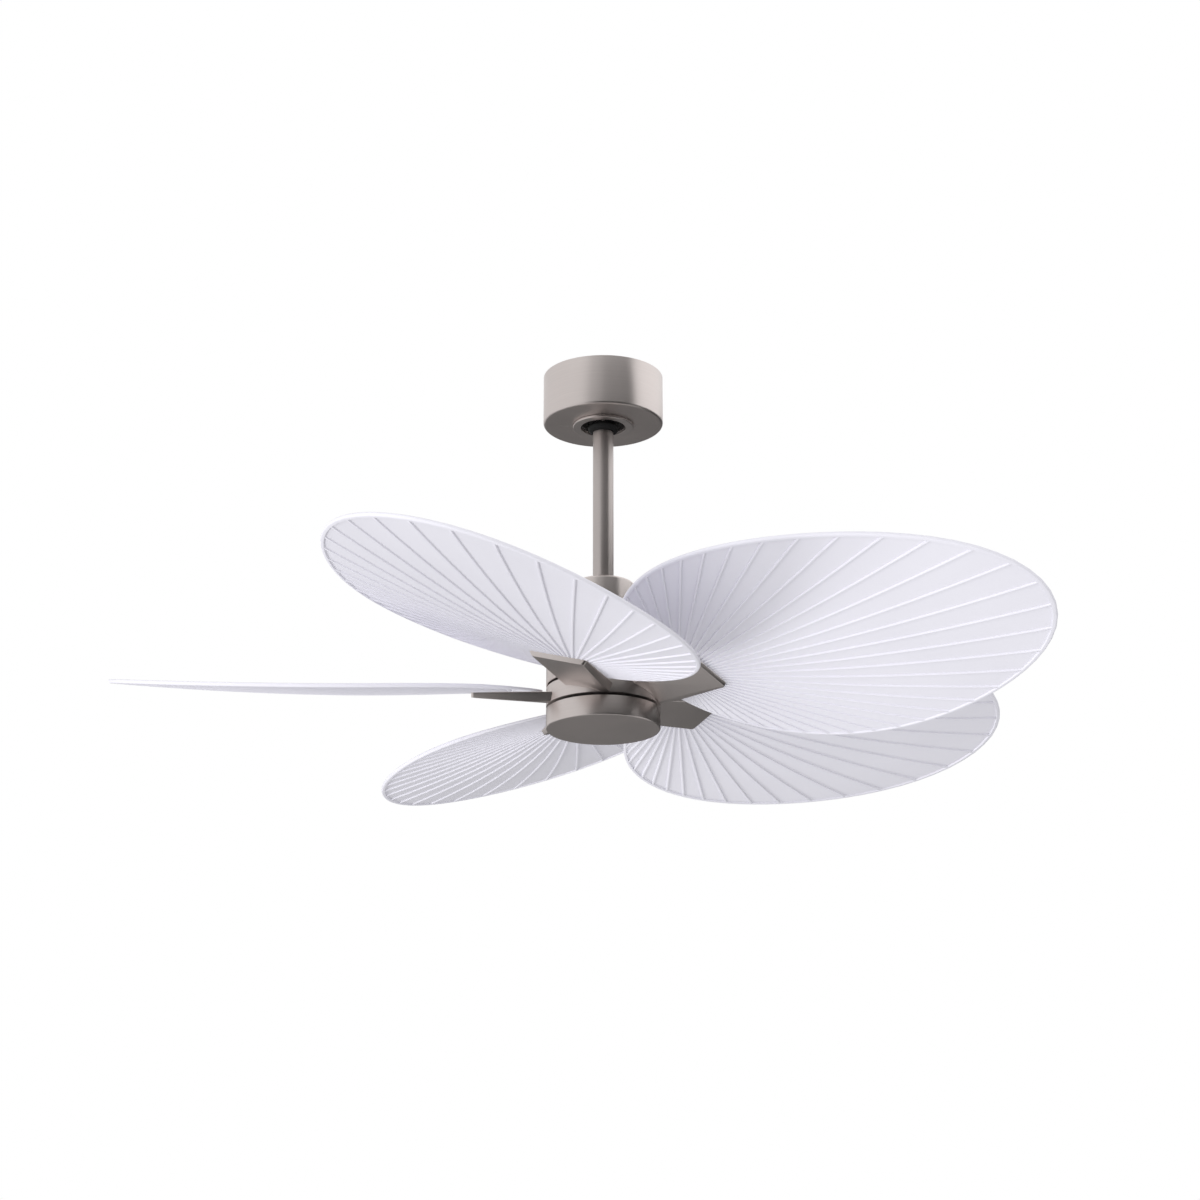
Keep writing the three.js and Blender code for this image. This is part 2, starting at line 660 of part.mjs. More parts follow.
function magnetRing() {
  const outer = BELL_RADIUS - BELL_WALL - 0.4;
  return turned([
    [MAGNET_INNER, MAGNET_BOTTOM], [outer, MAGNET_BOTTOM], [outer, MAGNET_TOP], [MAGNET_INNER, MAGNET_TOP],
  ], SIDES_MOTOR);
}

// The upper half of the rotor hangs by its cup's lip on the upper bearing
function rotorUpperBell() {
  const seat = BEARING_OUTER + GAP;
  const inner = BELL_RADIUS - BELL_WALL;
  const lip = UPPER_BEARING_TOP + GAP;
  return turned([
    [CUP_OPENING, lip + BELL_WALL],
    [CUP_RADIUS, lip + BELL_WALL],
    [CUP_RADIUS, BELL_TOP],
    [BELL_RADIUS, BELL_TOP],
    [BELL_RADIUS, BELL_SPLIT],
    [inner, BELL_SPLIT],
    [inner, BELL_TOP - BELL_WALL],
    [seat, BELL_TOP - BELL_WALL],
    [seat, lip],
    [CUP_OPENING, lip],
  ], SIDES_MOTOR);
}

// ---------------------------------------------------------------- blades

// From a blade's own frame (x out along it, y to its trailing edge, z up) to the fan's frame
function bladePose(index) {
  const angle = FIRST_BLADE_ANGLE + (360 / BLADE_COUNT) * index;
  const turn = new THREE.Euler(-PITCH * DEGREE, -CONING * DEGREE, angle * DEGREE, 'ZXY');
  return new THREE.Matrix4().makeRotationFromEuler(turn).setPosition(0, 0, BLADE_AXIS_HEIGHT);
}

function dish(x, y) {
  const along = ((x - LEAF_MIDDLE) / LEAF_HALF_LENGTH) ** 2;
  const rise = x > LEAF_MIDDLE ? DISH_TO_TIP * along : (DISH_TO_ROOT[0] + DISH_TO_ROOT[1] * along) * along;
  return rise + DISH_ACROSS * (y / LEAF_HALF_WIDTH) ** 2;
}

function rimHalf(x) {
  const share = Math.max(RIM_ROOT.from - x, 0) / (RIM_ROOT.from - RIM_ROOT.at);
  return RIM_HALF_THICK + (RIM_ROOT.half - RIM_HALF_THICK) * share;
}

function leafOutline(turn) {
  const c = Math.cos(turn);
  const egg = LEAF_EGG.reduce((sum, factor, power) => sum + factor * c ** power, 0);
  return [LEAF_MIDDLE + LEAF_HALF_LENGTH * c, LEAF_HALF_WIDTH * Math.sin(turn) * egg];
}

// Distance from the ribs' focus to the outline, in a direction given in radians
function rimDistance(direction) {
  let [low, high] = [0, Math.PI];
  const wanted = Math.abs(Math.atan2(Math.sin(direction), Math.cos(direction)));
  for (let i = 0; i < 40; i += 1) {
    const middle = (low + high) / 2;
    const [x, y] = leafOutline(middle);
    if (Math.atan2(y, x - RIB_FOCUS) < wanted) low = middle;
    else high = middle;
  }
  const [x, y] = leafOutline(low);
  return Math.hypot(x - RIB_FOCUS, y);
}

// Distance from the focus to the edge of the flat seat for the arm
function seatDistance(direction) {
  const [c, s] = [Math.cos(direction), Math.sin(direction)];
  const along = c > 0 ? (ARM_END + SEAT_MARGIN + 1 - RIB_FOCUS) / c : (RIB_FOCUS - SEAT_FROM) / -c;
  const across = s > 0 ? (ARM_TRAIL.end + SEAT_MARGIN) / s : (ARM_LEAD.end + SEAT_MARGIN) / -s;
  return Math.min(Math.abs(along), Math.abs(across));
}

function armTop(x) {
  return ARM_SEAT_HEIGHT + (171.7 - x) * ARM_SEAT_SLOPE;
}

function armBottom(x) {
  return ARM_BOTTOM_HEIGHT - (ARM_END - x) * ARM_BOTTOM_SLOPE;
}

// One leaf: flat seat, ribs and panels and a raised rim below; a plain dished face above.
// Its corners lie on rays from the focus. A rib's ray has a crest with a foot on each side.
function blade() {
  const corners = [];
  const triangles = [];
  const point = (x, y, z) => corners.push([x, y, z]) - 1;
  const onRay = (direction, distance, lift) => {
    const [x, y] = [RIB_FOCUS + distance * Math.cos(direction), distance * Math.sin(direction)];
    return point(x, y, dish(x, y) + lift);
  };
  const facing = (a, b, c) => {
    if (new Set([a, b, c]).size === 3) triangles.push(a, b, c);
  };
  const quad = (a, b, c, d) => {
    facing(a, b, c);
    facing(a, c, d);
  };
  const inner = (direction) => rimDistance(direction) - RIM_WIDTH;
  const panelEnd = (direction) => inner(direction) - RIM_STEP;

  const ribAngles = Array.from({ length: 2 * RIBS_EACH_SIDE + 1 }, (_, i) => (
    (i - RIBS_EACH_SIDE) * RIB_STEP * DEGREE));
  const lastRib = ribAngles.at(-1);
  const rootStep = (2 * Math.PI - 2 * lastRib) / (ROOT_COLUMNS + 1);
  const rootAngles = Array.from({ length: ROOT_COLUMNS }, (_, i) => lastRib + rootStep * (i + 1));

  const columns = [...ribAngles, ...rootAngles].map((direction, index) => {
    const isRib = index < ribAngles.length;
    const start = seatDistance(direction);
    const middle = start + (panelEnd(direction) - start) * PANEL_ROW;
    const [seatX, seatY] = [RIB_FOCUS + start * Math.cos(direction), start * Math.sin(direction)];
    const seat = point(seatX, seatY, armTop(seatX) + GAP);
    const foot = (distance, side) => direction + (side * RIB_HALF_WIDTH) / distance;
    const onRim = (distance, side) => (
      onRay(direction, distance, side * rimHalf(RIB_FOCUS + distance * Math.cos(direction))));
    const edges = {
      low: onRim(rimDistance(direction), -1),
      high: onRim(rimDistance(direction), 1),
      rim: onRim(inner(direction), -1),
    };
    if (!isRib) {
      const row = onRay(direction, middle, -PANEL_HALF_THICK);
      const end = onRay(direction, panelEnd(direction), -PANEL_HALF_THICK);
      const plain = { crest: row, row: [row, row], end: [end, end], tip: end };
      return { direction, seat, seatX, seatY, ...edges, ...plain };
    }
    const crest = onRay(direction, middle, -RIM_HALF_THICK);
    const row = [-1, 1].map((side) => onRay(foot(middle, side), middle, -PANEL_HALF_THICK));
    const end = [-1, 1].map((side) => {
      const turned = foot(panelEnd(direction), side);
      return onRay(turned, panelEnd(turned), -PANEL_HALF_THICK);
    });
    return { direction, seat, seatX, seatY, ...edges, crest, row, end, tip: edges.rim };
  });

  // Underside and edge
  columns.forEach((here, index) => {
    const next = columns[(index + 1) % columns.length];
    facing(here.seat, here.crest, here.row[0]);
    facing(here.seat, here.row[1], here.crest);
    quad(here.row[0], here.crest, here.tip, here.end[0]);
    quad(here.crest, here.row[1], here.end[1], here.tip);
    quad(here.seat, next.seat, next.row[0], here.row[1]);
    quad(here.row[1], next.row[0], next.end[0], here.end[1]);
    quad(here.end[1], next.end[0], next.rim, here.rim);
    quad(here.rim, next.rim, next.low, here.low);
    quad(here.low, next.low, next.high, here.high);
  });

  // Upper face, on every fourth ray
  const above = columns.filter((_, index) => index % 4 === 0).map((column) => {
    const { direction, seatX, seatY } = column;
    const start = seatDistance(direction);
    return {
      seat: point(seatX, seatY, armTop(seatX) + GAP + SEAT_THICK),
      row: onRay(direction, start + (panelEnd(direction) - start) * PANEL_ROW, PANEL_HALF_THICK),
      end: onRay(direction, panelEnd(direction), PANEL_HALF_THICK),
    };
  });
  above.forEach((here, index) => {
    const next = above[(index + 1) % above.length];
    const high = [0, 1, 2, 3, 4].map((step) => columns[(4 * index + step) % columns.length].high);
    quad(here.seat, here.row, next.row, next.seat);
    quad(here.row, here.end, next.end, next.row);
    quad(here.end, high[0], high[1], high[2]);
    facing(here.end, high[2], next.end);
    quad(next.end, high[2], high[3], high[4]);
  });

  // The two seats, with three screw holes through them
  const holes = BLADE_SCREWS.map(([x, y]) => Array.from({ length: SIDES_SCREW }, (_, i) => {
    const turn = (i / SIDES_SCREW) * 2 * Math.PI;
    return new THREE.Vector2(x + BLADE_SCREW.hole * Math.cos(turn), y + BLADE_SCREW.hole * Math.sin(turn));
  }));
  const wall = (lift) => holes.map((hole) => hole.map(({ x, y }) => point(x, y, armTop(x) + GAP + lift)));
  const [below, over] = [wall(0), wall(SEAT_THICK)];
  const face = (ring, rims, upwards) => {
    const flat = (index) => new THREE.Vector2(corners[index][0], corners[index][1]);
    const indices = [...ring, ...rims.flat()];
    const faces = THREE.ShapeUtils.triangulateShape(ring.map(flat), rims.map((rim) => rim.map(flat)));
    for (const [a, b, c] of faces) {
      const [p, q, r] = [a, b, c].map((i) => flat(indices[i]));
      const counterClockwise = q.clone().sub(p).cross(r.clone().sub(p)) > 0;
      if (counterClockwise === upwards) facing(indices[a], indices[b], indices[c]);
      else facing(indices[a], indices[c], indices[b]);
    }
  };
  face(columns.map((column) => column.seat), below, false);
  face(above.map((column) => column.seat), over, true);
  below.forEach((rim, hole) => rim.forEach((low, i) => {
    const j = (i + 1) % rim.length;
    quad(low, over[hole][i], over[hole][j], rim[j]);
  }));

  const geometry = new THREE.BufferGeometry();
  geometry.setAttribute('position', new THREE.Float32BufferAttribute(corners.flat(), 3));
  geometry.setIndex(triangles);
  return tidied(geometry);
}

// ---------------------------------------------------------------- blade arms

// Skins a row of sections, each a list of points of the same length, and closes both ends
function lofted(sections) {
  const size = sections[0].length;
  const triangles = [];
  for (let s = 0; s + 1 < sections.length; s += 1) {
    for (let i = 0; i < size; i += 1) {
      const j = (i + 1) % size;
      const [a, b] = [s * size + i, s * size + j];
      triangles.push(a, b, b + size, a, b + size, a + size);
    }
  }
  const last = (sections.length - 1) * size;
  for (let i = 1; i + 1 < size; i += 1) {
    triangles.push(0, i + 1, i, last, last + i, last + i + 1);
  }
  const geometry = new THREE.BufferGeometry();
  geometry.setAttribute('position', new THREE.Float32BufferAttribute(sections.flat(2), 3));
  geometry.setIndex(triangles);
  return geometry;
}

// A plate that thickens towards the hub, cut to the hub's round wall, with a tongue that goes inside it
function bladeArm() {
  const between = ({ end, hub }, x) => end + ((hub - end) * (ARM_END - x)) / (ARM_END - HUB_RADIUS);
  const cornerCut = (x) => {
    const into = x - (ARM_END - ARM_CORNER);
    return into <= 0 ? 0 : ARM_CORNER - Math.sqrt(Math.max(ARM_CORNER ** 2 - into ** 2, 0));
  };
  const places = [TONGUE.from, ARM_END - ARM_CORNER, ...[25, 50, 72].map((angle) => (
    ARM_END - ARM_CORNER * (1 - Math.sin(angle * DEGREE)))), ARM_END];
  const sections = places.map((x) => {
    const lead = -between(ARM_LEAD, x);
    const trail = between(ARM_TRAIL, x) - Math.min(cornerCut(x), ARM_CORNER - 0.2);
    const [top, bottom] = [armTop(x), armBottom(x)];
    const [leadIn, leadUp] = [between(ARM_LEAD_SLOPE.across, x), between(ARM_LEAD_SLOPE.height, x)];
    const [trailIn, trailUp] = [between(ARM_TRAIL_SLOPE.across, x), between(ARM_TRAIL_SLOPE.height, x)];
    return [[lead, top], [lead, bottom + leadUp], [lead + leadIn, bottom],
      [trail - trailIn, bottom], [trail, bottom + trailUp], [trail, top]].map(([y, z]) => [x, y, z]);
  });
  const toBlade = bladePose(0).invert();
  const hub = bar('z', -520, -400, HUB_RADIUS + 0.8, SIDES_HUB_CUT).applyMatrix4(toBlade);
  const below = block([-300, -300, -600], [300, 300, RING_BOTTOM + GAP]).applyMatrix4(toBlade);
  const tongue = block([TONGUE.from, -TONGUE.half, TONGUE.bottom], [TONGUE.to, TONGUE.half, TONGUE.top]);
  const holes = BLADE_SCREWS.map(([x, y]) => (
    bar('z', armTop(x) - BLADE_SCREW.reach - 0.6, armTop(x) + 3, BLADE_SCREW.hole, SIDES_SCREW)
      .translate(x, y, 0)));
  const tongueHole = bar('z', TONGUE.bottom - 1, TONGUE.top + 1, ARM_SCREW.hole, SIDES_SCREW);
  return cut(joined(cut(lofted(sections), hub, below), tongue), ...holes,
    tongueHole.translate(ARM_SCREW.at, 0, 0));
}

function bladeScrew([x, y]) {
  const seat = armTop(x) + GAP + SEAT_THICK;
  const rise = BLADE_SCREW.head * ARM_SEAT_SLOPE + GAP;
  return screw({ ...BLADE_SCREW, reach: SEAT_THICK + BLADE_SCREW.reach + rise }).translate(x, y, seat + rise);
}

function armScrew() {
  return screw(ARM_SCREW).translate(ARM_SCREW.at, 0, TONGUE.top + GAP);
}

// ---------------------------------------------------------------- assembly

const fan = new THREE.Group();

function add(name, geometry, finish, parent = fan) {
  const mesh = new THREE.Mesh(geometry, new THREE.MeshStandardMaterial(finish));
  mesh.name = name;
  parent.add(mesh);
}

add('hanger_bracket', hangerBracket(), blackEnamel);
add('canopy', canopy(), brushedNickel);
add('canopy_trim_ring', canopyTrimRing(), brushedNickel);
for (const side of [-1, 1]) {
  const screwNumber = side < 0 ? 1 : 2;
  add(`canopy_screw_${screwNumber}`, canopyScrew().translate(side * CANOPY_SCREW_AT, 0, 0), zincPlate);
}
add('receiver_module', receiverModule(), blackPlastic);

add('hanger_ball', hangerBall(), blackEnamel);
add('ball_cross_pin', ballCrossPin(), zincPlate);
add('ball_set_screw', setScrew(ROD_RADIUS + 0.4, BALL_RADIUS - 3, BALL_SCREW_HEIGHT), zincPlate);
add('downrod', downrod(), brushedNickel);
add('coupling_cover', couplingCover(), brushedNickel);
add('motor_coupling', motorCoupling(), blackEnamel);
add('clevis_pin', clevisPin(), zincPlate);
add('hairpin_clip', hairpinClip(), zincPlate);
add('rod_set_screw', setScrew(ROD_RADIUS + 0.4, COUPLING_RADIUS + 3, ROD_SCREW_HEIGHT), zincPlate);
add('shaft_set_screw', setScrew(SHAFT_END_RADIUS + 0.4, COUPLING_RADIUS + 3, SHAFT_SCREW_HEIGHT), zincPlate);

add('upper_housing', upperHousing(), brushedNickel);
add('motor_shaft', motorShaft(), bearingSteel);
add('bearing_upper', bearing(UPPER_BEARING_TOP), bearingSteel);
add('bearing_lower', bearing(LOWER_BEARING_TOP), bearingSteel);
add('stator_core', statorCore(), electricalSteel);
add('winding_end_upper', windingEnd(1), copperWire);
add('winding_end_lower', windingEnd(-1), copperWire);
add('bottom_plate', bottomPlate(), zincPlate);
add('shaft_nut', shaftNut(), zincPlate);
add('bottom_cap', bottomCap(), brushedNickel);

add('rotor_upper_bell', rotorUpperBell(), castAluminium);
add('magnet_ring', magnetRing(), ferrite);
add('rotor_ring', rotorRing(), brushedNickel);

const armShape = bladeArm();
const bladeShape = blade();
for (let i = 0; i < BLADE_COUNT; i += 1) {
  const arm = new THREE.Group();
  arm.applyMatrix4(bladePose(i));
  fan.add(arm);
  add(`blade_arm_${i + 1}`, armShape, brushedNickel, arm);
  add(`arm_screw_${i + 1}`, armScrew(), zincPlate, arm);
  add(`blade_${i + 1}`, bladeShape, leafWhite, arm);
  BLADE_SCREWS.forEach((place, hole) => {
    add(`blade_${i + 1}_screw_${hole + 1}`, bladeScrew(place), zincPlate, arm);
  });
}

export default fan;
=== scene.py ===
# %% [markdown]
# # A ceiling fan with five palm-leaf blades
#
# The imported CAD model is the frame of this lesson: it says where every piece is, in metres, with the
# origin in the middle of the ceiling plane and +Z up. Each step below takes one piece or one finish of
# the real fan, says how it is made in a factory, and makes the same form with Blender's mesh operators.

# %% Load the frame
import json
import math

import bmesh
import bpy
from mathutils import Matrix, Vector


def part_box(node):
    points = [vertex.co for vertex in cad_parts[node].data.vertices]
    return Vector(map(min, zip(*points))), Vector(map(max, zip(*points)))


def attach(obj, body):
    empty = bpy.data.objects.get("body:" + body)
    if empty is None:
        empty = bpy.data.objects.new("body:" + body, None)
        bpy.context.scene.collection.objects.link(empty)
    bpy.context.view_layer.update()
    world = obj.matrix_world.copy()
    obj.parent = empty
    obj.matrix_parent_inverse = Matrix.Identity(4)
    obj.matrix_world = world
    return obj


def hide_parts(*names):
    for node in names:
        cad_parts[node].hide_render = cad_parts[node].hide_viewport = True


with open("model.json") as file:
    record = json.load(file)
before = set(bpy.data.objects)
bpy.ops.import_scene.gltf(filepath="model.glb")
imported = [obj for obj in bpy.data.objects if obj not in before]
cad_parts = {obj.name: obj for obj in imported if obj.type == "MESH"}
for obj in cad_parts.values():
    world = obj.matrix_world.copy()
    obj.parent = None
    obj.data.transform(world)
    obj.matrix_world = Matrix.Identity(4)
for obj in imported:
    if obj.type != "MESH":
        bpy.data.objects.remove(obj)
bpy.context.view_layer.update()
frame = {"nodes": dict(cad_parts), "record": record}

# %% [markdown]
# ## The camera
# The photograph looks up at the fan from about a metre and a half under the ceiling. A camera placed by
# its height, its distance and its tilt is easier to check than one that is turned by hand until it fits.
# The focal length is written in pixels of a 1200 pixel wide picture, which is how it was fitted.

# %% Place the camera
PHOTO_WIDTH = 1200
FOCAL_PIXELS = 2728.5
AIM_HEIGHT = -0.455
CAMERA_DISTANCE = 3.6287
CAMERA_BELOW = math.radians(16.4375)
CAMERA_TILT = math.radians(18.419)
CAMERA_TURN = math.radians(0.0715)


def placed(name, data):
    """A new object in the scene, for a mesh, a camera or a lamp."""
    thing = bpy.data.objects.new(name, data)
    bpy.context.scene.collection.objects.link(thing)
    return thing


camera = placed("camera", bpy.data.cameras.new("camera"))
bpy.context.scene.camera = camera
camera.data.sensor_width = 36
camera.data.lens = FOCAL_PIXELS / PHOTO_WIDTH * camera.data.sensor_width
camera.location = (
    0,
    -CAMERA_DISTANCE * math.cos(CAMERA_BELOW),
    AIM_HEIGHT - CAMERA_DISTANCE * math.sin(CAMERA_BELOW),
)
camera.rotation_euler = (math.radians(90) + CAMERA_TILT, 0, CAMERA_TURN)
print("camera at", [round(v, 3) for v in camera.location], "lens", round(camera.data.lens, 2))

# %% [markdown]
# ## Writing a material as sums
# A finish is a handful of noises that are scaled, added and mixed. Written as node after node it is hard
# to read, so one small class wraps a node's output, and Python's operators add the Math nodes:
# `0.3 + grain * 0.1` is a node tree. Every other node comes from one method, `node`, which sets the
# node's own settings first and then the values or links of its inputs.


# %% A value that can be written in sums
class Value:
    """One output of a node. Arithmetic with it adds Math nodes to its tree."""

    def __init__(self, nodes, socket):
        self.nodes = nodes
        self.socket = socket

    def math(self, operation, *terms):
        return self.nodes.node("ShaderNodeMath", {"operation": operation}, dict(enumerate(terms)))

    def __add__(self, other):
        return self.math("ADD", self, other)

    def __radd__(self, other):
        return self.math("ADD", other, self)

    def __sub__(self, other):
        return self.math("SUBTRACT", self, other)

    def __rsub__(self, other):
        return self.math("SUBTRACT", other, self)

    def __mul__(self, other):
        return self.math("MULTIPLY", self, other)

    def __rmul__(self, other):
        return self.math("MULTIPLY", other, self)


# %% The nodes of a tree, and a material that is one
class Nodes:
    """Makes and links the nodes of one tree, of a material or of the world."""

    def __init__(self, tree):
        self.tree = tree

    def feed(self, socket, value):
        if isinstance(value, Value):
            self.tree.links.new(value.socket, socket)
        else:
            socket.default_value = value

    def node(self, kind, settings=None, inputs=None, output=0):
        made = self.tree.nodes.new(kind)
        for name, value in (settings or {}).items():
            setattr(made, name, value)
        for name, value in (inputs or {}).items():
            self.feed(made.inputs[name], value)
        return Value(self, made.outputs[output])


class Finish(Nodes):
    """One material. Sockets that are the same all over are set when it is made."""

    def __init__(self, name, **constants):
        self.material = bpy.data.materials.new(name)
        self.material.use_nodes = True
        super().__init__(self.material.node_tree)
        self.shader = self.tree.nodes["Principled BSDF"]
        for word, value in constants.items():
            socket = word.replace("_", " ").title().replace("Ior", "IOR")
            self.shader.inputs[socket].default_value = value

    def shade(self, socket, value):
        self.feed(self.shader.inputs[socket], value)

    def place(self):
        """Object coordinates, in metres from the middle of the ceiling plane."""
        return self.node("ShaderNodeTexCoord", output="Object")

    def noise(self, scale, detail=2.0):
        inputs = {"Vector": self.place(), "Scale": scale, "Detail": detail}
        return self.node("ShaderNodeTexNoise", None, inputs)

    def noise_round_axis(self, fine, along):
        """A noise in rings: fine up a wall or across a flat face, drawn out round the Z axis."""
        place = self.place()
        flat = self.node("ShaderNodeVectorMath", {"operation": "MULTIPLY"}, {0: place, 1: (1, 1, 0)})
        radius = self.node("ShaderNodeVectorMath", {"operation": "LENGTH"}, {0: flat}, "Value")
        height = self.node("ShaderNodeSeparateXYZ", None, {0: place}, "Z")
        rings = self.node("ShaderNodeCombineXYZ", None, {2: (radius + height) * fine})
        arcs = self.node("ShaderNodeVectorMath", {"operation": "SCALE"}, {0: flat, "Scale": along})
        ringed = self.node("ShaderNodeVectorMath", {"operation": "ADD"}, {0: arcs, 1: rings})
        return self.node("ShaderNodeTexNoise", None, {"Vector": ringed, "Scale": 1.0, "Detail": 2.0})

    def mixed(self, share, first, second):
        """A blend of two colours, whose sockets on the node are 6 and 7 and whose output is 2."""
        return self.node("ShaderNodeMix", {"data_type": "RGBA"}, {0: share, 6: first, 7: second}, 2)

    def bump(self, height, depth, strength=1.0):
        inputs = {"Height": height, "Distance": depth, "Strength": strength}
        self.shade("Normal", self.node("ShaderNodeBump", None, inputs))


# %% [markdown]
# ## Brushed nickel
# The drum, rod, cover and hub are steel or zinc pressings plated with nickel and brushed while they turn
# on a lathe. The brush leaves fine scratches that run round the piece. They blur every reflection up and
# down but not sideways, so a brushed drum shows clear upright bands. Two things make that here:
# anisotropy, turned by a quarter so that it spreads light across the scratches, and a noise in rings.
# The arms and the flat undersides are blasted instead, which leaves a fine even grain.

# %% Nickel finishes
NICKEL = (0.88, 0.808, 0.784, 1)
NICKEL_SHADED = (0.69, 0.63, 0.608, 1)
ACROSS_THE_BRUSH = 0.25


def toned(colour, tone):
    """The same colour, darker or lighter."""
    return tuple(part * tone for part in colour[:3]) + (1,)


def brushed_nickel(name, roughness, tone=1.0):
    finish = Finish(name, metallic=1.0, anisotropic=0.5, anisotropic_rotation=ACROSS_THE_BRUSH)
    hair = finish.noise_round_axis(fine=2400, along=26)
    streak = finish.noise_round_axis(fine=520, along=9)
    smudge = finish.noise(scale=11.0, detail=4.0)
    wear = hair * 0.4 + streak * 0.35 + smudge * 0.25
    finish.shade("Base Color", finish.mixed(wear, toned(NICKEL_SHADED, tone), toned(NICKEL, tone)))
    finish.shade("Roughness", roughness + (hair - 0.5) * 0.10 + (streak - 0.5) * 0.10
                 + (smudge - 0.5) * 0.05)
    finish.bump(hair, depth=0.000012)
    return finish.material


def blasted_nickel(name, roughness):
    finish = Finish(name, metallic=1.0)
    grain = finish.noise(scale=900.0)
    smudge = finish.noise(scale=16.0, detail=4.0)
    finish.shade("Base Color", finish.mixed(grain * 0.4 + smudge * 0.6, NICKEL_SHADED, NICKEL))
    finish.shade("Roughness", roughness + (grain - 0.5) * 0.08 + (smudge - 0.5) * 0.06)
    finish.bump(grain, depth=0.00001)
    return finish.material


spun_nickel = brushed_nickel("spun_nickel", roughness=0.40)
# The rod has the drum's own plating. Tone 0.80 darkens it as painted shade, so the thin tube looks dimmer
# than the drum.
rod_nickel_painted_shade = brushed_nickel("rod_nickel_painted_shade", roughness=0.42, tone=0.80)
cast_nickel = blasted_nickel("cast_nickel", roughness=0.38)
flat_nickel = blasted_nickel("flat_nickel", roughness=0.44)
print("nickel finishes:", spun_nickel.name, rod_nickel_painted_shade.name, cast_nickel.name, flat_nickel.name)

# %% [markdown]
# ## The other metals and plastics
# Plates and screws are zinc plated, which leaves a patchy spangle. The ball, the boot and the coupling are a
# dull black. The bracket's own finish is zinc plate, but it gets the same black as painted shade, which
# keeps the inside of the canopy's hole dark. The motor's castings, sheets, copper and magnets are inside the
# hub, and show only when someone takes the model apart, but each has its own finish all the same.


# %% Small finishes
def plain_metal(name, dark, light, roughness, grain=160.0, depth=0.00003, metallic=1.0, shine=0.5):
    finish = Finish(name, metallic=metallic, specular_ior_level=shine)
    spangle = finish.noise(grain, detail=3.0)
    wear = finish.noise(grain * 0.2, detail=5.0)
    finish.shade("Base Color", finish.mixed(spangle * 0.6 + wear * 0.4, dark, light))
    finish.shade("Roughness", roughness + (wear - 0.5) * 0.25)
    finish.bump(spangle, depth)
    return finish.material


small_finishes = {
    "zinc_plate": plain_metal(
        "zinc_plate", (0.36, 0.37, 0.39, 1), (0.60, 0.61, 0.63, 1), roughness=0.38),
    "black_enamel": plain_metal(
        "black_enamel", (0.006, 0.006, 0.006, 1), (0.014, 0.014, 0.014, 1), roughness=0.6,
        metallic=0.0, shine=0.2),
    "bearing_steel": plain_metal(
        "bearing_steel", (0.55, 0.56, 0.58, 1), (0.7, 0.71, 0.73, 1), roughness=0.22, grain=300.0),
    "electrical_steel": plain_metal(
        "electrical_steel", (0.2, 0.2, 0.21, 1), (0.34, 0.34, 0.35, 1), roughness=0.5),
    "copper_wire": plain_metal(
        "copper_wire", (0.35, 0.12, 0.05, 1), (0.62, 0.25, 0.11, 1), roughness=0.34,
        grain=420.0, depth=0.0002),
    "cast_aluminium": plain_metal(
        "cast_aluminium", (0.45, 0.46, 0.47, 1), (0.62, 0.63, 0.64, 1), roughness=0.5,
        grain=500.0, depth=0.0001),
    "ferrite": plain_metal(
        "ferrite", (0.03, 0.03, 0.033, 1), (0.07, 0.07, 0.073, 1), roughness=0.75,
        grain=350.0, metallic=0.2),
    "black_plastic": plain_metal(
        "black_plastic", (0.02, 0.02, 0.021, 1), (0.034, 0.034, 0.036, 1), roughness=0.55,
        grain=900.0, metallic=0.0),
}
zinc = small_finishes["zinc_plate"]
# Black enamel for the ball, the boot and the coupling. On the bracket the same black is painted shade.
enamel_and_painted_shade = small_finishes["black_enamel"]
print("small finishes:", ", ".join(small_finishes))

# %% [markdown]
# ## Off-white leaf plastic
# The blades are moulded in a satin plastic that leans a little towards lavender. The mould's texture is
# finer than a tenth of a millimetre, so it shows as softness and not as grain. A slow drift in colour and
# in gloss keeps five large pale faces from looking like paint on glass.

# %% Leaf finish
LEAF_LIGHT = (0.82, 0.81, 0.876, 1)
LEAF_DEEP = (0.77, 0.76, 0.828, 1)

leaf = Finish("leaf_white", specular_ior_level=0.4)
leaf_drift = leaf.noise(scale=7.0, detail=3.0)
leaf_grain = leaf.noise(scale=1400.0)
leaf.shade("Base Color", leaf.mixed(leaf_drift, LEAF_DEEP, LEAF_LIGHT))
leaf.shade("Roughness", 0.42 + leaf_drift * 0.12 + leaf_grain * 0.05)
leaf.bump(leaf_grain, depth=0.00003, strength=0.5)
leaf_white = leaf.material
print("leaf finish:", leaf_white.name)

# %% [markdown]
# ## Turning, dressing and carving
# Everything below is modelled in millimetres and becomes metres in `finished`, which also turns the faces
# outwards and keeps hard edges hard. `turned` makes what a lathe or a spinning chuck makes: a profile is
# spun round the Z axis and its corners are given a small round. `dressed` takes a folded or cast piece
# whose CAD form is already right, merges its loose triangles and breaks its sharp edges. `carved` drills,
# cuts and welds, as a drill press or a torch would.

# %% Finish a mesh
MM = 0.001
WELD = 0.0005
HARD_EDGE = math.radians(28)
CORNER = math.radians(20)


def finished(mesh, name, material, place=None, hard=HARD_EDGE):
    """Millimetres become metres, and loose corners a closed, outward facing mesh."""
    bmesh.ops.remove_doubles(mesh, verts=mesh.verts, dist=WELD)
    bmesh.ops.recalc_face_normals(mesh, faces=mesh.faces)
    mesh.transform(Matrix.Scale(MM, 4) @ (place or Matrix.Identity(4)))
    data = bpy.data.meshes.new(name)
    mesh.to_mesh(data)
    mesh.free()
    data.shade_smooth()
    data.set_sharp_from_angle(angle=hard)
    data.materials.append(material)
    return placed(name, data)


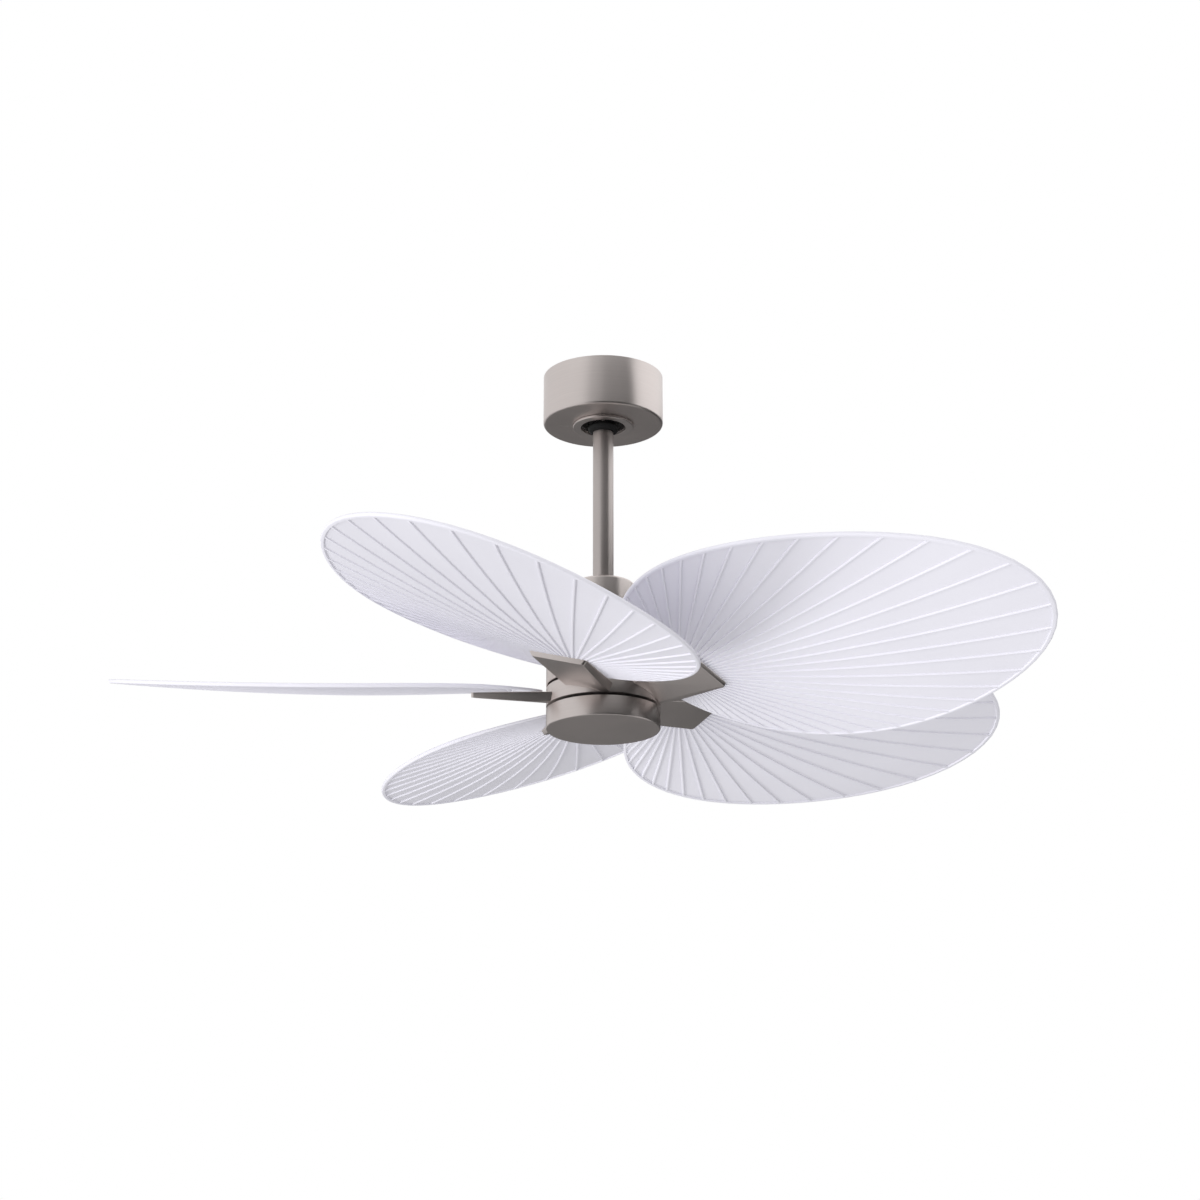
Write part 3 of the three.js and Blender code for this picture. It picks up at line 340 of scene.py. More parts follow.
def broken_edges(mesh, width, segments=2):
    """Takes the sharpness off every edge that turns by more than a corner's angle."""
    sharp = [e for e in mesh.edges if len(e.link_faces) == 2 and e.calc_face_angle(0) > CORNER]
    bmesh.ops.bevel(mesh, geom=sharp, offset=width, offset_type="OFFSET", segments=segments,
                    profile=0.5, affect="EDGES", material=-1, clamp_overlap=True)


print("corners closer than", WELD, "mm become one")

# %% Turn a profile
ROUND_STEPS = 144
SMALL_STEPS = 96
SOFT_EDGE = 0.35


def spun(profile, steps, edge):
    """A profile of radius and height, closed on itself or starting and ending on the axis."""
    mesh = bmesh.new()
    points = [mesh.verts.new((radius, 0, height)) for radius, height in profile]
    pairs = list(zip(points, points[1:]))
    if profile[0][0] > 0:
        pairs.append((points[-1], points[0]))
    lines = [mesh.edges.new(pair) for pair in pairs]
    bmesh.ops.spin(mesh, geom=points + lines, cent=(0, 0, 0), axis=(0, 0, 1), angle=math.tau,
                   steps=steps, use_merge=True)
    bmesh.ops.remove_doubles(mesh, verts=mesh.verts, dist=WELD)
    bmesh.ops.recalc_face_normals(mesh, faces=mesh.faces)
    broken_edges(mesh, edge)
    return mesh


def arc(centre, radius, start, end, points=6):
    """Points on a round stretch of a profile, from one angle in degrees to another."""
    angles = [math.radians(start + (end - start) * i / (points - 1)) for i in range(points)]
    return [(centre[0] + radius * math.cos(a), centre[1] + radius * math.sin(a)) for a in angles]


def turned(name, material, profile, steps=ROUND_STEPS, edge=SOFT_EDGE):
    return finished(spun(profile, steps, edge), name, material)


print("a full turn has", ROUND_STEPS, "steps, or", SMALL_STEPS, "on a small piece")

# %% Dress a CAD form
CAD_WELD = 0.002
LEVEL = math.radians(1)


def in_millimetres(data):
    """A copy of a mesh that is in metres, to work on."""
    mesh = bmesh.new()
    mesh.from_mesh(data)
    mesh.transform(Matrix.Scale(1 / MM, 4))
    return mesh


def dressed(node, material, edge):
    """A CAD node's own form with its flat faces made whole and its edges broken."""
    mesh = in_millimetres(frame["nodes"][node].data)
    bmesh.ops.remove_doubles(mesh, verts=mesh.verts, dist=CAD_WELD)
    bmesh.ops.dissolve_limit(mesh, angle_limit=LEVEL, verts=mesh.verts, edges=mesh.edges)
    broken_edges(mesh, edge)
    return finished(mesh, "fine_" + node, material)


print("CAD corners closer than", CAD_WELD, "mm become one")

# %% Bars, boxes and carving
STRAIGHT_DOWN = -0.98


def box(low, high):
    mesh = bmesh.new()
    middle = (Vector(low) + Vector(high)) / 2
    size = Vector(high) - Vector(low)
    bmesh.ops.create_cube(mesh, size=1, matrix=Matrix.Translation(middle) @ Matrix.Diagonal(size.to_4d()))
    return mesh


def rod_between(start, end, radius, sides=32):
    """A closed round bar from one point to another."""
    mesh = bmesh.new()
    along = Vector(end) - Vector(start)
    middle = (Vector(start) + Vector(end)) / 2
    place = Matrix.Translation(middle) @ along.to_track_quat("Z", "Y").to_matrix().to_4x4()
    bmesh.ops.create_cone(mesh, cap_ends=True, segments=sides, radius1=radius, radius2=radius,
                          depth=along.length, matrix=place)
    return mesh


def carved(piece, tool_mesh, operation="DIFFERENCE", place=None):
    """Cuts a tool out of a piece, or welds it on, and leaves a plain mesh."""
    tool = finished(tool_mesh, "tool", piece.data.materials[0], place)
    step = piece.modifiers.new("carve", "BOOLEAN")
    step.object = tool
    step.operation = operation
    step.solver = "EXACT"
    bpy.context.view_layer.update()
    carving = piece.evaluated_get(bpy.context.evaluated_depsgraph_get())
    result = bpy.data.meshes.new_from_object(carving)
    piece.modifiers.clear()
    piece.data = result
    bpy.data.objects.remove(tool)
    result.shade_smooth()
    result.set_sharp_from_angle(angle=HARD_EDGE)


def flat_below(piece, material):
    """Faces that look straight down get their own finish."""
    piece.data.materials.append(material)
    for face in piece.data.polygons:
        if face.normal.z < STRAIGHT_DOWN:
            face.material_index = len(piece.data.materials) - 1


print("faces that look down have a Z below", STRAIGHT_DOWN)

# %% Measure a CAD node, and put a piece in its place
CEILING, HANGING, ROTOR = "ceiling_mount", "hanging_motor", "rotor"
slot_of = {part["node"]: part["material_slot"] for part in frame["record"]["subparts"]}


def span(node):
    """Lowest and highest corner of a CAD node, in millimetres."""
    return [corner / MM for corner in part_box(node)]


def settle(piece, body, *nodes):
    """The piece rides on its body and stands for its CAD nodes."""
    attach(piece, body)
    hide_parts(*nodes)


def copied(pattern, name, place):
    """A copy of a pattern that was made round the origin, moved to its place on the fan."""
    data = pattern.data.copy()
    data.transform(Matrix.Scale(MM, 4) @ place @ Matrix.Scale(1 / MM, 4))
    return placed(name, data)


print("nodes with a finish of their own:", len(slot_of))

# %% [markdown]
# ## Canopy and its ring
# The canopy is a drum pressed from sheet, with a rolled lower edge and a wide hole for the rod. A flatter
# ring is pushed up against it and hides the two screws. Both are spun. The wall has its real thickness,
# because the hole lets a viewer look inside.

# %% Canopy
SHEET = 1.5
CANOPY_EDGE = 3.5
CANOPY_HOLE = 31
FOLD = 2
SCREW_HOLE = 2.6
THROUGH = 2
canopy_low, canopy_high = span("canopy")
canopy_radius = canopy_high.x
canopy_floor = canopy_low.z + SHEET

canopy = turned("drum_canopy", spun_nickel, [
    (canopy_radius, canopy_high.z),
    (canopy_radius - SHEET, canopy_high.z),
    *arc((canopy_radius - SHEET - FOLD, canopy_floor + FOLD), FOLD, 0, -90, 4),
    (CANOPY_HOLE, canopy_floor),
    (CANOPY_HOLE, canopy_low.z),
    *arc((canopy_radius - CANOPY_EDGE, canopy_low.z + CANOPY_EDGE), CANOPY_EDGE, -90, 0),
])
for screw in ("canopy_screw_1", "canopy_screw_2"):
    low, high = span(screw)
    x = ((low + high) / 2).x
    carved(canopy, rod_between((x, 0, canopy_low.z - THROUGH), (x, 0, canopy_floor + THROUGH), SCREW_HOLE))
flat_below(canopy, flat_nickel)
settle(canopy, CEILING, "canopy")
print("canopy radius", round(canopy_radius, 1), "mm, faces", len(canopy.data.polygons))

# %% Trim ring
TRIM_INNER = 30.6
TRIM_SHEET = 1.2
TRIM_SLOPE = 1.6
TRIM_EDGE = 0.2
trim_low, trim_high = span("canopy_trim_ring")
trim_radius = trim_high.x

trim = turned("canopy_ring", spun_nickel, [
    (TRIM_INNER, trim_low.z),
    *arc((trim_radius - TRIM_SLOPE, trim_low.z + TRIM_SLOPE), TRIM_SLOPE, -90, 0, 5),
    (trim_radius, trim_high.z),
    (trim_radius - TRIM_SHEET, trim_high.z),
    (trim_radius - TRIM_SHEET - TRIM_SLOPE, trim_low.z + TRIM_SHEET),
    (TRIM_INNER + TRIM_SHEET, trim_low.z + TRIM_SHEET),
    (TRIM_INNER + TRIM_SHEET, trim_high.z),
    (TRIM_INNER, trim_high.z),
], edge=TRIM_EDGE)
settle(trim, CEILING, "canopy_trim_ring")
print("trim ring radius", round(trim_radius, 1), "mm")

# %% [markdown]
# ## Bracket, receiver and ball
# The bracket is folded from plate, so its CAD form only needs its edges broken. The ball is turned: a
# sphere with flat ends, bored for the rod, with a groove down one side in which the bracket's key slides
# as the rod swings. The groove has a round floor, so its cutter is a bar with a round core taken out.

# %% Bracket and receiver
PLATE_EDGE = 0.35
MOULDED_EDGE = 2.0
# The bracket's black is painted shade: the dark inside of the canopy's hole, put into its colour.
settle(dressed("hanger_bracket", enamel_and_painted_shade, PLATE_EDGE), CEILING, "hanger_bracket")
settle(dressed("receiver_module", small_finishes["black_plastic"], MOULDED_EDGE), CEILING, "receiver_module")
print("bracket's lowest corner", [round(v) for v in span("hanger_bracket")[0]], "mm")

# %% Ball
ROD_ROOM = 0.5
GROOVE_HALF = 2.2
GROOVE_BOTTOM = 20.2
GROOVE_SPARE = 5
CORE_HALF = 10
PIN_HOLE = 3.4
DRILL_REACH = 40
ball_low, ball_high = span("hanger_ball")
rod_low, rod_high = span("downrod")
ball_radius = ball_high.x
rod_radius = rod_high.x
ball_middle = (ball_low.z + ball_high.z) / 2
flat_angle = math.degrees(math.asin((ball_high.z - ball_middle) / ball_radius))


def drilled(piece, height):
    """A hole for a pin, straight through along X."""
    carved(piece, rod_between((-DRILL_REACH, 0, height), (DRILL_REACH, 0, height), PIN_HOLE))


ball = turned("turned_ball", enamel_and_painted_shade, [
    (rod_radius + ROD_ROOM, ball_low.z),
    *arc((0, ball_middle), ball_radius, -flat_angle, flat_angle, 24),
    (rod_radius + ROD_ROOM, ball_high.z),
], SMALL_STEPS)
bar = box((-GROOVE_HALF, -ball_radius - GROOVE_SPARE, ball_middle - ball_radius),
          (GROOVE_HALF, -GROOVE_SPARE, ball_middle + ball_radius))
cutter = finished(bar, "cutter", zinc)
core = rod_between((-CORE_HALF, 0, ball_middle), (CORE_HALF, 0, ball_middle), GROOVE_BOTTOM, 64)
carved(cutter, core)
carved(ball, in_millimetres(cutter.data))
bpy.data.objects.remove(cutter)
pin_low, pin_high = span("ball_cross_pin")
pin_height = (pin_low.z + pin_high.z) / 2
drilled(ball, pin_height)
settle(ball, HANGING, "hanger_ball")
print("ball radius", round(ball_radius, 1), "mm, faces", len(ball.data.polygons))

# %% [markdown]
# ## Boot
# A black rubber boot sits on the rod under the ball and closes the canopy's hole to the eye. It is
# narrower than the hole, so that it clears the ring when the rod swings, and it moves with the rod. Its
# neck and its low shoulder leave room for the bracket. It has no CAD node to stand for.

# %% Boot
BOOT_RADIUS = 21
BOOT_DEPTH = 12.5
BOOT_ROOM = 0.2
BOOT_NECK = 1.4
BOOT_ROUND, BOOT_ROUND_AT = 6, 6.6
BOOT_SHOULDER = 4.6
BOOT_GAP = 0.4
boot_bottom = ball_low.z - BOOT_DEPTH
boot = turned("rod_boot", enamel_and_painted_shade, [
    (rod_radius + BOOT_ROOM, boot_bottom),
    (rod_radius + BOOT_NECK, boot_bottom),
    *arc((BOOT_RADIUS - BOOT_ROUND, boot_bottom + BOOT_ROUND_AT), BOOT_ROUND, -75, 5, 8),
    (rod_radius + BOOT_NECK, ball_low.z - BOOT_SHOULDER),
    (rod_radius + BOOT_NECK, ball_low.z - BOOT_GAP),
    (rod_radius + BOOT_ROOM, ball_low.z - BOOT_GAP),
], SMALL_STEPS)
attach(boot, HANGING)
print("boot reaches", round(BOOT_DEPTH, 1), "mm below the ball")

# %% [markdown]
# ## Rod, pins and coupling
# The rod is a length of tube. The coupling under the cover is a casting that the rod is pinned into.
# Pins and screws are turned bars whose ends are chamfered so that they start easily into their holes.

# %% Downrod
ROD_WALL = 2
ROD_EDGE = 0.3
rod = turned("tube_rod", rod_nickel_painted_shade, [
    (rod_radius - ROD_WALL, rod_low.z), (rod_radius, rod_low.z),
    (rod_radius, rod_high.z), (rod_radius - ROD_WALL, rod_high.z),
], SMALL_STEPS, ROD_EDGE)
clevis_low, clevis_high = span("clevis_pin")
drilled(rod, pin_height)
drilled(rod, (clevis_low.z + clevis_high.z) / 2)
settle(rod, HANGING, "downrod")
print("rod", round(rod_high.z - rod_low.z), "mm long and", round(rod_radius * 2), "mm thick")

# %% Pins and set screws
CHAMFER = 0.6


def chamfered_bar(node, axis):
    """A bar along X or Y with chamfered ends, as large as its CAD node."""
    low, high = span(node)
    middle = (low + high) / 2
    reach = (high - low)[axis] / 2
    along = Vector((1, 0, 0)) if axis == 0 else Vector((0, 1, 0))
    mesh = rod_between(middle - along * reach, middle + along * reach, (high - low).z / 2)
    broken_edges(mesh, CHAMFER, 1)
    return finished(mesh, "turned_" + node, zinc)


BARS = {"ball_cross_pin": 0, "ball_set_screw": 1, "rod_set_screw": 1, "shaft_set_screw": 1}
for node, axis in BARS.items():
    settle(chamfered_bar(node, axis), HANGING, node)
print("turned bars:", ", ".join(BARS))

# %% Coupling, clevis pin and clip
CAST_EDGE = 0.5
PIN_EDGE = 0.3
WIRE_EDGE = 0.1
settle(dressed("motor_coupling", enamel_and_painted_shade, CAST_EDGE), HANGING, "motor_coupling")
settle(dressed("clevis_pin", zinc, PIN_EDGE), HANGING, "clevis_pin")
settle(dressed("hairpin_clip", zinc, WIRE_EDGE), HANGING, "hairpin_clip")
print("clevis pin from", round(clevis_low.y, 1), "to", round(clevis_high.y, 1), "mm")

# %% [markdown]
# ## Coupling cover, housing, turning ring and cap
# These four share one plated finish. The cover, the housing and the cap are spun from sheet, and the ring
# is cast and then turned. The dark seams between them are real gaps: above the turning ring to the
# housing, and below it to the cap.

# %% Coupling cover
COVER_EDGE = 4
COVER_HOLE = 15.2
cover_low, cover_high = span("coupling_cover")
cover_radius = cover_high.x
cover = turned("spun_cover", spun_nickel, [
    (COVER_HOLE, cover_high.z),
    (COVER_HOLE, cover_high.z - SHEET),
    (cover_radius - SHEET - FOLD, cover_high.z - SHEET),
    (cover_radius - SHEET, cover_high.z - SHEET - FOLD),
    (cover_radius - SHEET, cover_low.z),
    (cover_radius, cover_low.z),
    *arc((cover_radius - COVER_EDGE, cover_high.z - COVER_EDGE), COVER_EDGE, 0, 90),
])
settle(cover, HANGING, "coupling_cover")
print("cover radius", round(cover_radius, 1), "mm")

# %% Upper housing
HUB_WALL = 2
SHOULDER = 8
HOUSING_ROOF = 3
SHAFT_HOLE = 8.4
housing_low, housing_high = span("upper_housing")
hub_radius = housing_high.x
housing = turned("spun_housing", spun_nickel, [
    (SHAFT_HOLE, housing_high.z),
    (SHAFT_HOLE, housing_high.z - HOUSING_ROOF),
    (hub_radius - SHOULDER, housing_high.z - HOUSING_ROOF),
    *arc((hub_radius - SHOULDER, housing_high.z - SHOULDER), SHOULDER - HUB_WALL, 60, 0, 5),
    (hub_radius - HUB_WALL, housing_low.z),
    (hub_radius, housing_low.z),
    *arc((hub_radius - SHOULDER, housing_high.z - SHOULDER), SHOULDER, 0, 90, 8),
])
settle(housing, HANGING, "upper_housing")
print("housing from", round(housing_low.z, 1), "to", round(housing_high.z, 1), "mm")

# %% Bottom cap
CAP_EDGE = 2.5
CAP_LIP_INNER = 71
CAP_LIP = 1.5
CAP_FILLET = 1.5
cap_low, cap_high = span("bottom_cap")
cap = turned("spun_cap", spun_nickel, [
    (0, cap_low.z),
    *arc((hub_radius - CAP_EDGE, cap_low.z + CAP_EDGE), CAP_EDGE, -90, 0),
    (hub_radius, cap_high.z),
    (CAP_LIP_INNER, cap_high.z),
    (CAP_LIP_INNER, cap_high.z - CAP_LIP),
    (hub_radius - HUB_WALL, cap_high.z - CAP_LIP),
    (hub_radius - HUB_WALL, cap_low.z + HUB_WALL + CAP_FILLET),
    (hub_radius - HUB_WALL - CAP_FILLET, cap_low.z + HUB_WALL),
    (0, cap_low.z + HUB_WALL),
])
flat_below(cap, flat_nickel)
settle(cap, HANGING, "bottom_cap")
print("hub radius", round(hub_radius, 1), "mm; cap from", round(cap_low.z, 1), "to", round(cap_high.z, 1))

# %% [markdown]
# ## Where a blade stands
# A blade is modelled lying along X, with its trailing edge towards +Y, and is then pitched, lifted at the
# tip and turned to its place round the hub. The first blade's angle and the equal step say it all.

# %% Blade poses
BLADES = 5
FIRST_ANGLE = 33.8
AXIS_HEIGHT = -460.8
PITCH = 15.7
CONING = 1.8
TIP_RADIUS = 660


def pose(number):
    """The move that takes a blade from lying along X to its place on the fan."""
    turn = Matrix.Rotation(math.radians(FIRST_ANGLE + 360 / BLADES * number), 4, "Z")
    pitch = Matrix.Rotation(math.radians(-PITCH), 4, "X")
    cone = Matrix.Rotation(math.radians(-CONING), 4, "Y")
    return Matrix.Translation((0, 0, AXIS_HEIGHT)) @ turn @ pitch @ cone


poses = [pose(number) for number in range(BLADES)]
tip = poses[0] @ Vector((TIP_RADIUS, 0, 0))
print("tip of blade 1 at", [round(v) for v in tip], "mm")

# %% [markdown]
# ## Turning ring
# One casting carries the blades: an outer wall with a floor, and a skirt and bell that run up inside the
# housing. A slot through the wall lets each arm's tongue in. The sloping pads that the tongues are screwed
# to are closed in by the wall, the floor and the housing, and only the CAD solid has them.

# %% Turning ring
RING_WALL = 2.9
RING_FLOOR = 3
SKIRT = 41
SKIRT_WALL = 5
BELL_RADIUS = 60.5
BELL_WALL = 3
BELL_BOTTOM = -434.5
BEARING_SEAT = 17.3
CUP_RADIUS = 21
CUP_OPENING = 12.4
CUP_FLOOR = -442.8
TONGUE_HALF = 25
TONGUE_LOW, TONGUE_HIGH = -4, 2
TONGUE_END = 92
SLOT_START = 66
SLOT_ROOM = 0.4
RING_TOP = -448.2
RING_EDGE = 0.5
ring_low, ring_high = span("rotor_ring")
ring_bottom = ring_low.z
ring_inner = hub_radius - RING_WALL
skirt_inner = SKIRT - SKIRT_WALL
bell_inner = BELL_RADIUS - BELL_WALL

ring = turned("cast_ring", spun_nickel, [
    (CUP_OPENING, CUP_FLOOR - BELL_WALL), (CUP_RADIUS, CUP_FLOOR - BELL_WALL), (CUP_RADIUS, BELL_BOTTOM),
    (skirt_inner, BELL_BOTTOM), (skirt_inner, ring_bottom), (hub_radius, ring_bottom),
    (hub_radius, RING_TOP), (ring_inner, RING_TOP), (ring_inner, ring_bottom + RING_FLOOR),
    (SKIRT, ring_bottom + RING_FLOOR), (SKIRT, BELL_BOTTOM), (BELL_RADIUS, BELL_BOTTOM),
    (BELL_RADIUS, ring_high.z), (bell_inner, ring_high.z), (bell_inner, BELL_BOTTOM + BELL_WALL),
    (BEARING_SEAT, BELL_BOTTOM + BELL_WALL), (BEARING_SEAT, CUP_FLOOR), (CUP_OPENING, CUP_FLOOR),
], edge=RING_EDGE)
for place in poses:
    slot = box((SLOT_START, -TONGUE_HALF - SLOT_ROOM, TONGUE_LOW - SLOT_ROOM),
               (TONGUE_END, TONGUE_HALF + SLOT_ROOM, TONGUE_HIGH + SLOT_ROOM))
    carved(ring, slot, place=place)
settle(ring, ROTOR, "rotor_ring")
print("turning ring faces", len(ring.data.polygons))

# %% [markdown]
# ## Blade arms
# An arm is a casting: a plate that gets deeper towards the hub, flat on top where the leaf sits, with its
# lower long edges sloped away near the hub and a rounded outer corner on the trailing side. It starts as
# one six-sided end face that is extruded to the hub. The hub's round wall and the level of the ring's
# bottom are then cut out of it, and the tongue that goes into the ring is welded on.

# %% Arm shape
ARM_END = 173
ARM_ROOT = 60
ARM_TOP, ARM_TOP_AT, ARM_TOP_SLOPE = 4.4, 171.7, 0.031
ARM_BOTTOM, ARM_BOTTOM_SLOPE = -2.4, 0.051
ARM_LEAD = (40.8, 37)
ARM_TRAIL = (39.3, 36.5)
LEAD_SLOPE_ACROSS, LEAD_SLOPE_UP = (5, 9.9), (5.6, 12)
TRAIL_SLOPE_ACROSS, TRAIL_SLOPE_UP = (2.1, 1), (5.6, 12)
ARM_CORNER, ARM_CORNER_REACH = 3.5, 3
ARM_EDGE = 0.6


def arm_top(x):
    """The height of an arm's flat top, which rises towards the hub."""
    return ARM_TOP + (ARM_TOP_AT - x) * ARM_TOP_SLOPE


def arm_section(x):
    """Six corners across an arm: its half widths, sloped sides and depth change evenly along it."""
    share = (ARM_END - x) / (ARM_END - hub_radius)
    lead, trail, lead_in, lead_up, trail_in, trail_up = (
        end + (hub - end) * share for end, hub in
        (ARM_LEAD, ARM_TRAIL, LEAD_SLOPE_ACROSS, LEAD_SLOPE_UP, TRAIL_SLOPE_ACROSS, TRAIL_SLOPE_UP))
    top, bottom = arm_top(x), ARM_BOTTOM - (ARM_END - x) * ARM_BOTTOM_SLOPE
    corners = [(-lead, top), (-lead, bottom + lead_up), (lead_in - lead, bottom),
               (trail - trail_in, bottom), (trail, bottom + trail_up), (trail, top)]
    return [Vector((x, y, z)) for y, z in corners]


def arm_mesh():
    """The end face, pushed out to the hub and shaped on the way."""
    outer, inner = arm_section(ARM_END), arm_section(ARM_ROOT)
    mesh = bmesh.new()
    end = mesh.faces.new([mesh.verts.new(corner) for corner in outer])
    grown = bmesh.ops.extrude_face_region(mesh, geom=[end], use_keep_orig=True)
    for vert in [item for item in grown["geom"] if isinstance(item, bmesh.types.BMVert)]:
        nearest = min(range(len(outer)), key=lambda i: (outer[i] - vert.co).length)
        vert.co = inner[nearest]
    bmesh.ops.recalc_face_normals(mesh, faces=mesh.faces)
    corner = [e for e in mesh.edges
              if all(v.co.x > ARM_END - WELD and v.co.y > ARM_TRAIL[0] - ARM_CORNER_REACH for v in e.verts)]
    bmesh.ops.bevel(mesh, geom=corner, offset=ARM_CORNER, offset_type="OFFSET", segments=8,
                    profile=0.5, affect="EDGES", material=-1, clamp_overlap=False)
    broken_edges(mesh, ARM_EDGE, 3)
    return mesh


print("an arm is", round(ARM_LEAD[0] + ARM_TRAIL[0], 1), "mm wide at its end")

# %% Make the arms
HUB_GAP = 0.5
FLOOR_GAP = 0.3
HUB_CUT_LOW, HUB_CUT_HIGH = -540, -380
FLOOR_CUT, FLOOR_CUT_LOW = 300, -600
TONGUE_START = 48
TONGUE_EDGE = 0.8

arm_pattern = finished(arm_mesh(), "arm_pattern", cast_nickel)
inverse = poses[0].inverted()
hub_cut = rod_between((0, 0, HUB_CUT_LOW), (0, 0, HUB_CUT_HIGH), hub_radius + HUB_GAP, 160)
carved(arm_pattern, hub_cut, place=inverse)
floor_cut = box((-FLOOR_CUT, -FLOOR_CUT, FLOOR_CUT_LOW), (FLOOR_CUT, FLOOR_CUT, ring_bottom + FLOOR_GAP))
carved(arm_pattern, floor_cut, place=inverse)
tongue = box((TONGUE_START, -TONGUE_HALF, TONGUE_LOW), (TONGUE_END, TONGUE_HALF, TONGUE_HIGH))
broken_edges(tongue, TONGUE_EDGE)
carved(arm_pattern, tongue, "UNION")
for number, place in enumerate(poses, 1):
    settle(copied(arm_pattern, f"cast_arm_{number}", place), ROTOR, f"blade_arm_{number}")
print("arm faces", len(arm_pattern.data.polygons))
bpy.data.objects.remove(arm_pattern)

# %% [markdown]
# ## Palm-leaf blades
# A leaf is an egg-shaped shell, dished along and across. On its underside, straight ribs run out at equal
# angles from one point over the arm and meet a raised rim. A rib keeps its width while the angle between
# two ribs opens, so the mesh has to change its spacing with the distance from that point.
# A short line of points is spun round the point into a disc of rings and spokes, one ring for each step
# along the leaf's section. Then every corner of the disc is moved to its place on the leaf. The pale
# leaves would tint the metal beside them, so reflections don't see them.

# %% Leaf outline and dish
FOCUS = 122.6
LEAF_MIDDLE = 370.7
LEAF_HALF_LENGTH = 289.3
LEAF_HALF_WIDTH = 226.2
LEAF_EGG = (1, -0.17, 0.037, 0.042)
DISH_TO_TIP = 9.7
DISH_TO_ROOT = (17.56, -8.71)
DISH_ACROSS = 7.0
RIM_THICK = 2.65
RIM_AT_ROOT, ROOT_AT, THINS_FROM = 1.25, 81.4, 150
PANEL_THICK = 1.3
RIM_WIDTH = 6
RIM_ROUND = 2.2
HALVINGS = 26


def outline(turn):
    """A point of the egg-shaped edge, from the tip at a turn of 0 round to the root."""
    c = math.cos(turn)
    egg = sum(factor * c ** power for power, factor in enumerate(LEAF_EGG))
    return LEAF_MIDDLE + LEAF_HALF_LENGTH * c, LEAF_HALF_WIDTH * math.sin(turn) * egg


def rim_distance(direction):
    """How far the outline is from the focus in a direction, found by halving."""
    wanted = abs(math.atan2(math.sin(direction), math.cos(direction)))
    low, high = 0.0, math.pi
    for _ in range(HALVINGS):
        middle = (low + high) / 2
        x, y = outline(middle)
        if math.atan2(y, x - FOCUS) < wanted:
            low = middle
        else:
            high = middle
    x, y = outline(low)
    return math.hypot(x - FOCUS, y)


def dish(x, y):
    """How far the leaf curls up at a point: towards its tip, its root and its sides."""
    along = ((x - LEAF_MIDDLE) / LEAF_HALF_LENGTH) ** 2
    square, fourth = DISH_TO_ROOT
    rise = DISH_TO_TIP * along if x > LEAF_MIDDLE else (square + fourth * along) * along
    return rise + DISH_ACROSS * (y / LEAF_HALF_WIDTH) ** 2


def rim_half(x):
    """Half the rim's thickness, which thins towards the root."""
    share = max(THINS_FROM - x, 0) / (THINS_FROM - ROOT_AT)
    return RIM_THICK + (RIM_AT_ROOT - RIM_THICK) * share


print("rim is", round(rim_distance(0)), "mm from the ribs' point at the tip and",
      round(rim_distance(math.pi / 2)), "mm beside it")

# %% Seat for the arm
SEAT_GAP = 0.3
SEAT_THICK = 4.2
SEAT_MARGIN = 0.5
SEAT_BACK = 93
FAR = 1e9


def seat_distance(direction):
    """How far the edge of the flat seat is from the focus in a direction."""
    c, s = math.cos(direction), math.sin(direction)
    front, back = ARM_END + SEAT_MARGIN - FOCUS, FOCUS - SEAT_BACK
    trail, lead = ARM_TRAIL[0] + SEAT_MARGIN, ARM_LEAD[0] + SEAT_MARGIN
    along = front / c if c > 0 else back / -c if c < 0 else FAR
    across = trail / s if s > 0 else lead / -s if s < 0 else FAR
    return min(along, across)


print("seat reaches", round(seat_distance(0), 1), "mm out from the ribs' point")

# %% Rings of a leaf, from the middle of its underside round the rim to the middle of its top
RIB_PLACES = 67
RIB_STEP = math.radians(360 / RIB_PLACES)
RIBS_EACH_SIDE = 23
RIB_HALF_WIDTH = 1.9
RIB_FILL = 0.66
RIB_SECTION = ((-1, 0), (-0.74, 0.86), (-0.5, 1), (0, 1), (0.5, 1), (0.74, 0.86), (1, 0))
SPOKES_PER_RIB = len(RIB_SECTION) + 1
PANEL_UNDER = 0.6
FOOT = RIM_WIDTH + 1.1
FOOT_BEND, FOOT_BEND_HEIGHT = 0.45, -0.87
SEAT_WALL = 0.6

UNDER_SHARES = (0.0, 0.03, 0.07, 0.13, 0.2, 0.3, 0.4, 0.5, 0.6, 0.7, 0.8, 0.9, 0.96, 1.0)
TOP_SHARES = (0.97, 0.85, 0.7, 0.55, 0.4, 0.25, 0.12, 0.0)
ROUND_ANGLES = (-90, -60, -30, 0, 30, 60, 90)


def across_panel(share):
    """A distance from the seat's wall to the rim's foot."""
    return lambda seat, rim: seat + SEAT_WALL + (rim - FOOT - seat - SEAT_WALL) * share


def from_rim(inwards):
    return lambda seat, rim: rim - inwards


def on_seat(share):
    return lambda seat, rim: seat * share


RING_PLAN = [(on_seat(0), "seat", 0), (on_seat(1), "seat", 0)]
RING_PLAN += [(across_panel(share), "rib", 0) for share in UNDER_SHARES]
RING_PLAN += [(from_rim(RIM_WIDTH + FOOT_BEND), "rim", FOOT_BEND_HEIGHT), (from_rim(RIM_WIDTH), "rim", -1)]
for angle in ROUND_ANGLES:
    rise, inwards = math.sin(math.radians(angle)), 1 - math.cos(math.radians(angle))
    RING_PLAN.append((from_rim(RIM_ROUND * inwards), "rim", rise))
RING_PLAN += [(from_rim(RIM_WIDTH), "rim", 1), (from_rim(FOOT), "leaf", PANEL_THICK)]
RING_PLAN += [(across_panel(share), "leaf", PANEL_THICK) for share in TOP_SHARES]
RING_PLAN += [(on_seat(1), "seat", SEAT_THICK), (on_seat(0), "seat", SEAT_THICK)]
SPOKES = RIB_PLACES * SPOKES_PER_RIB
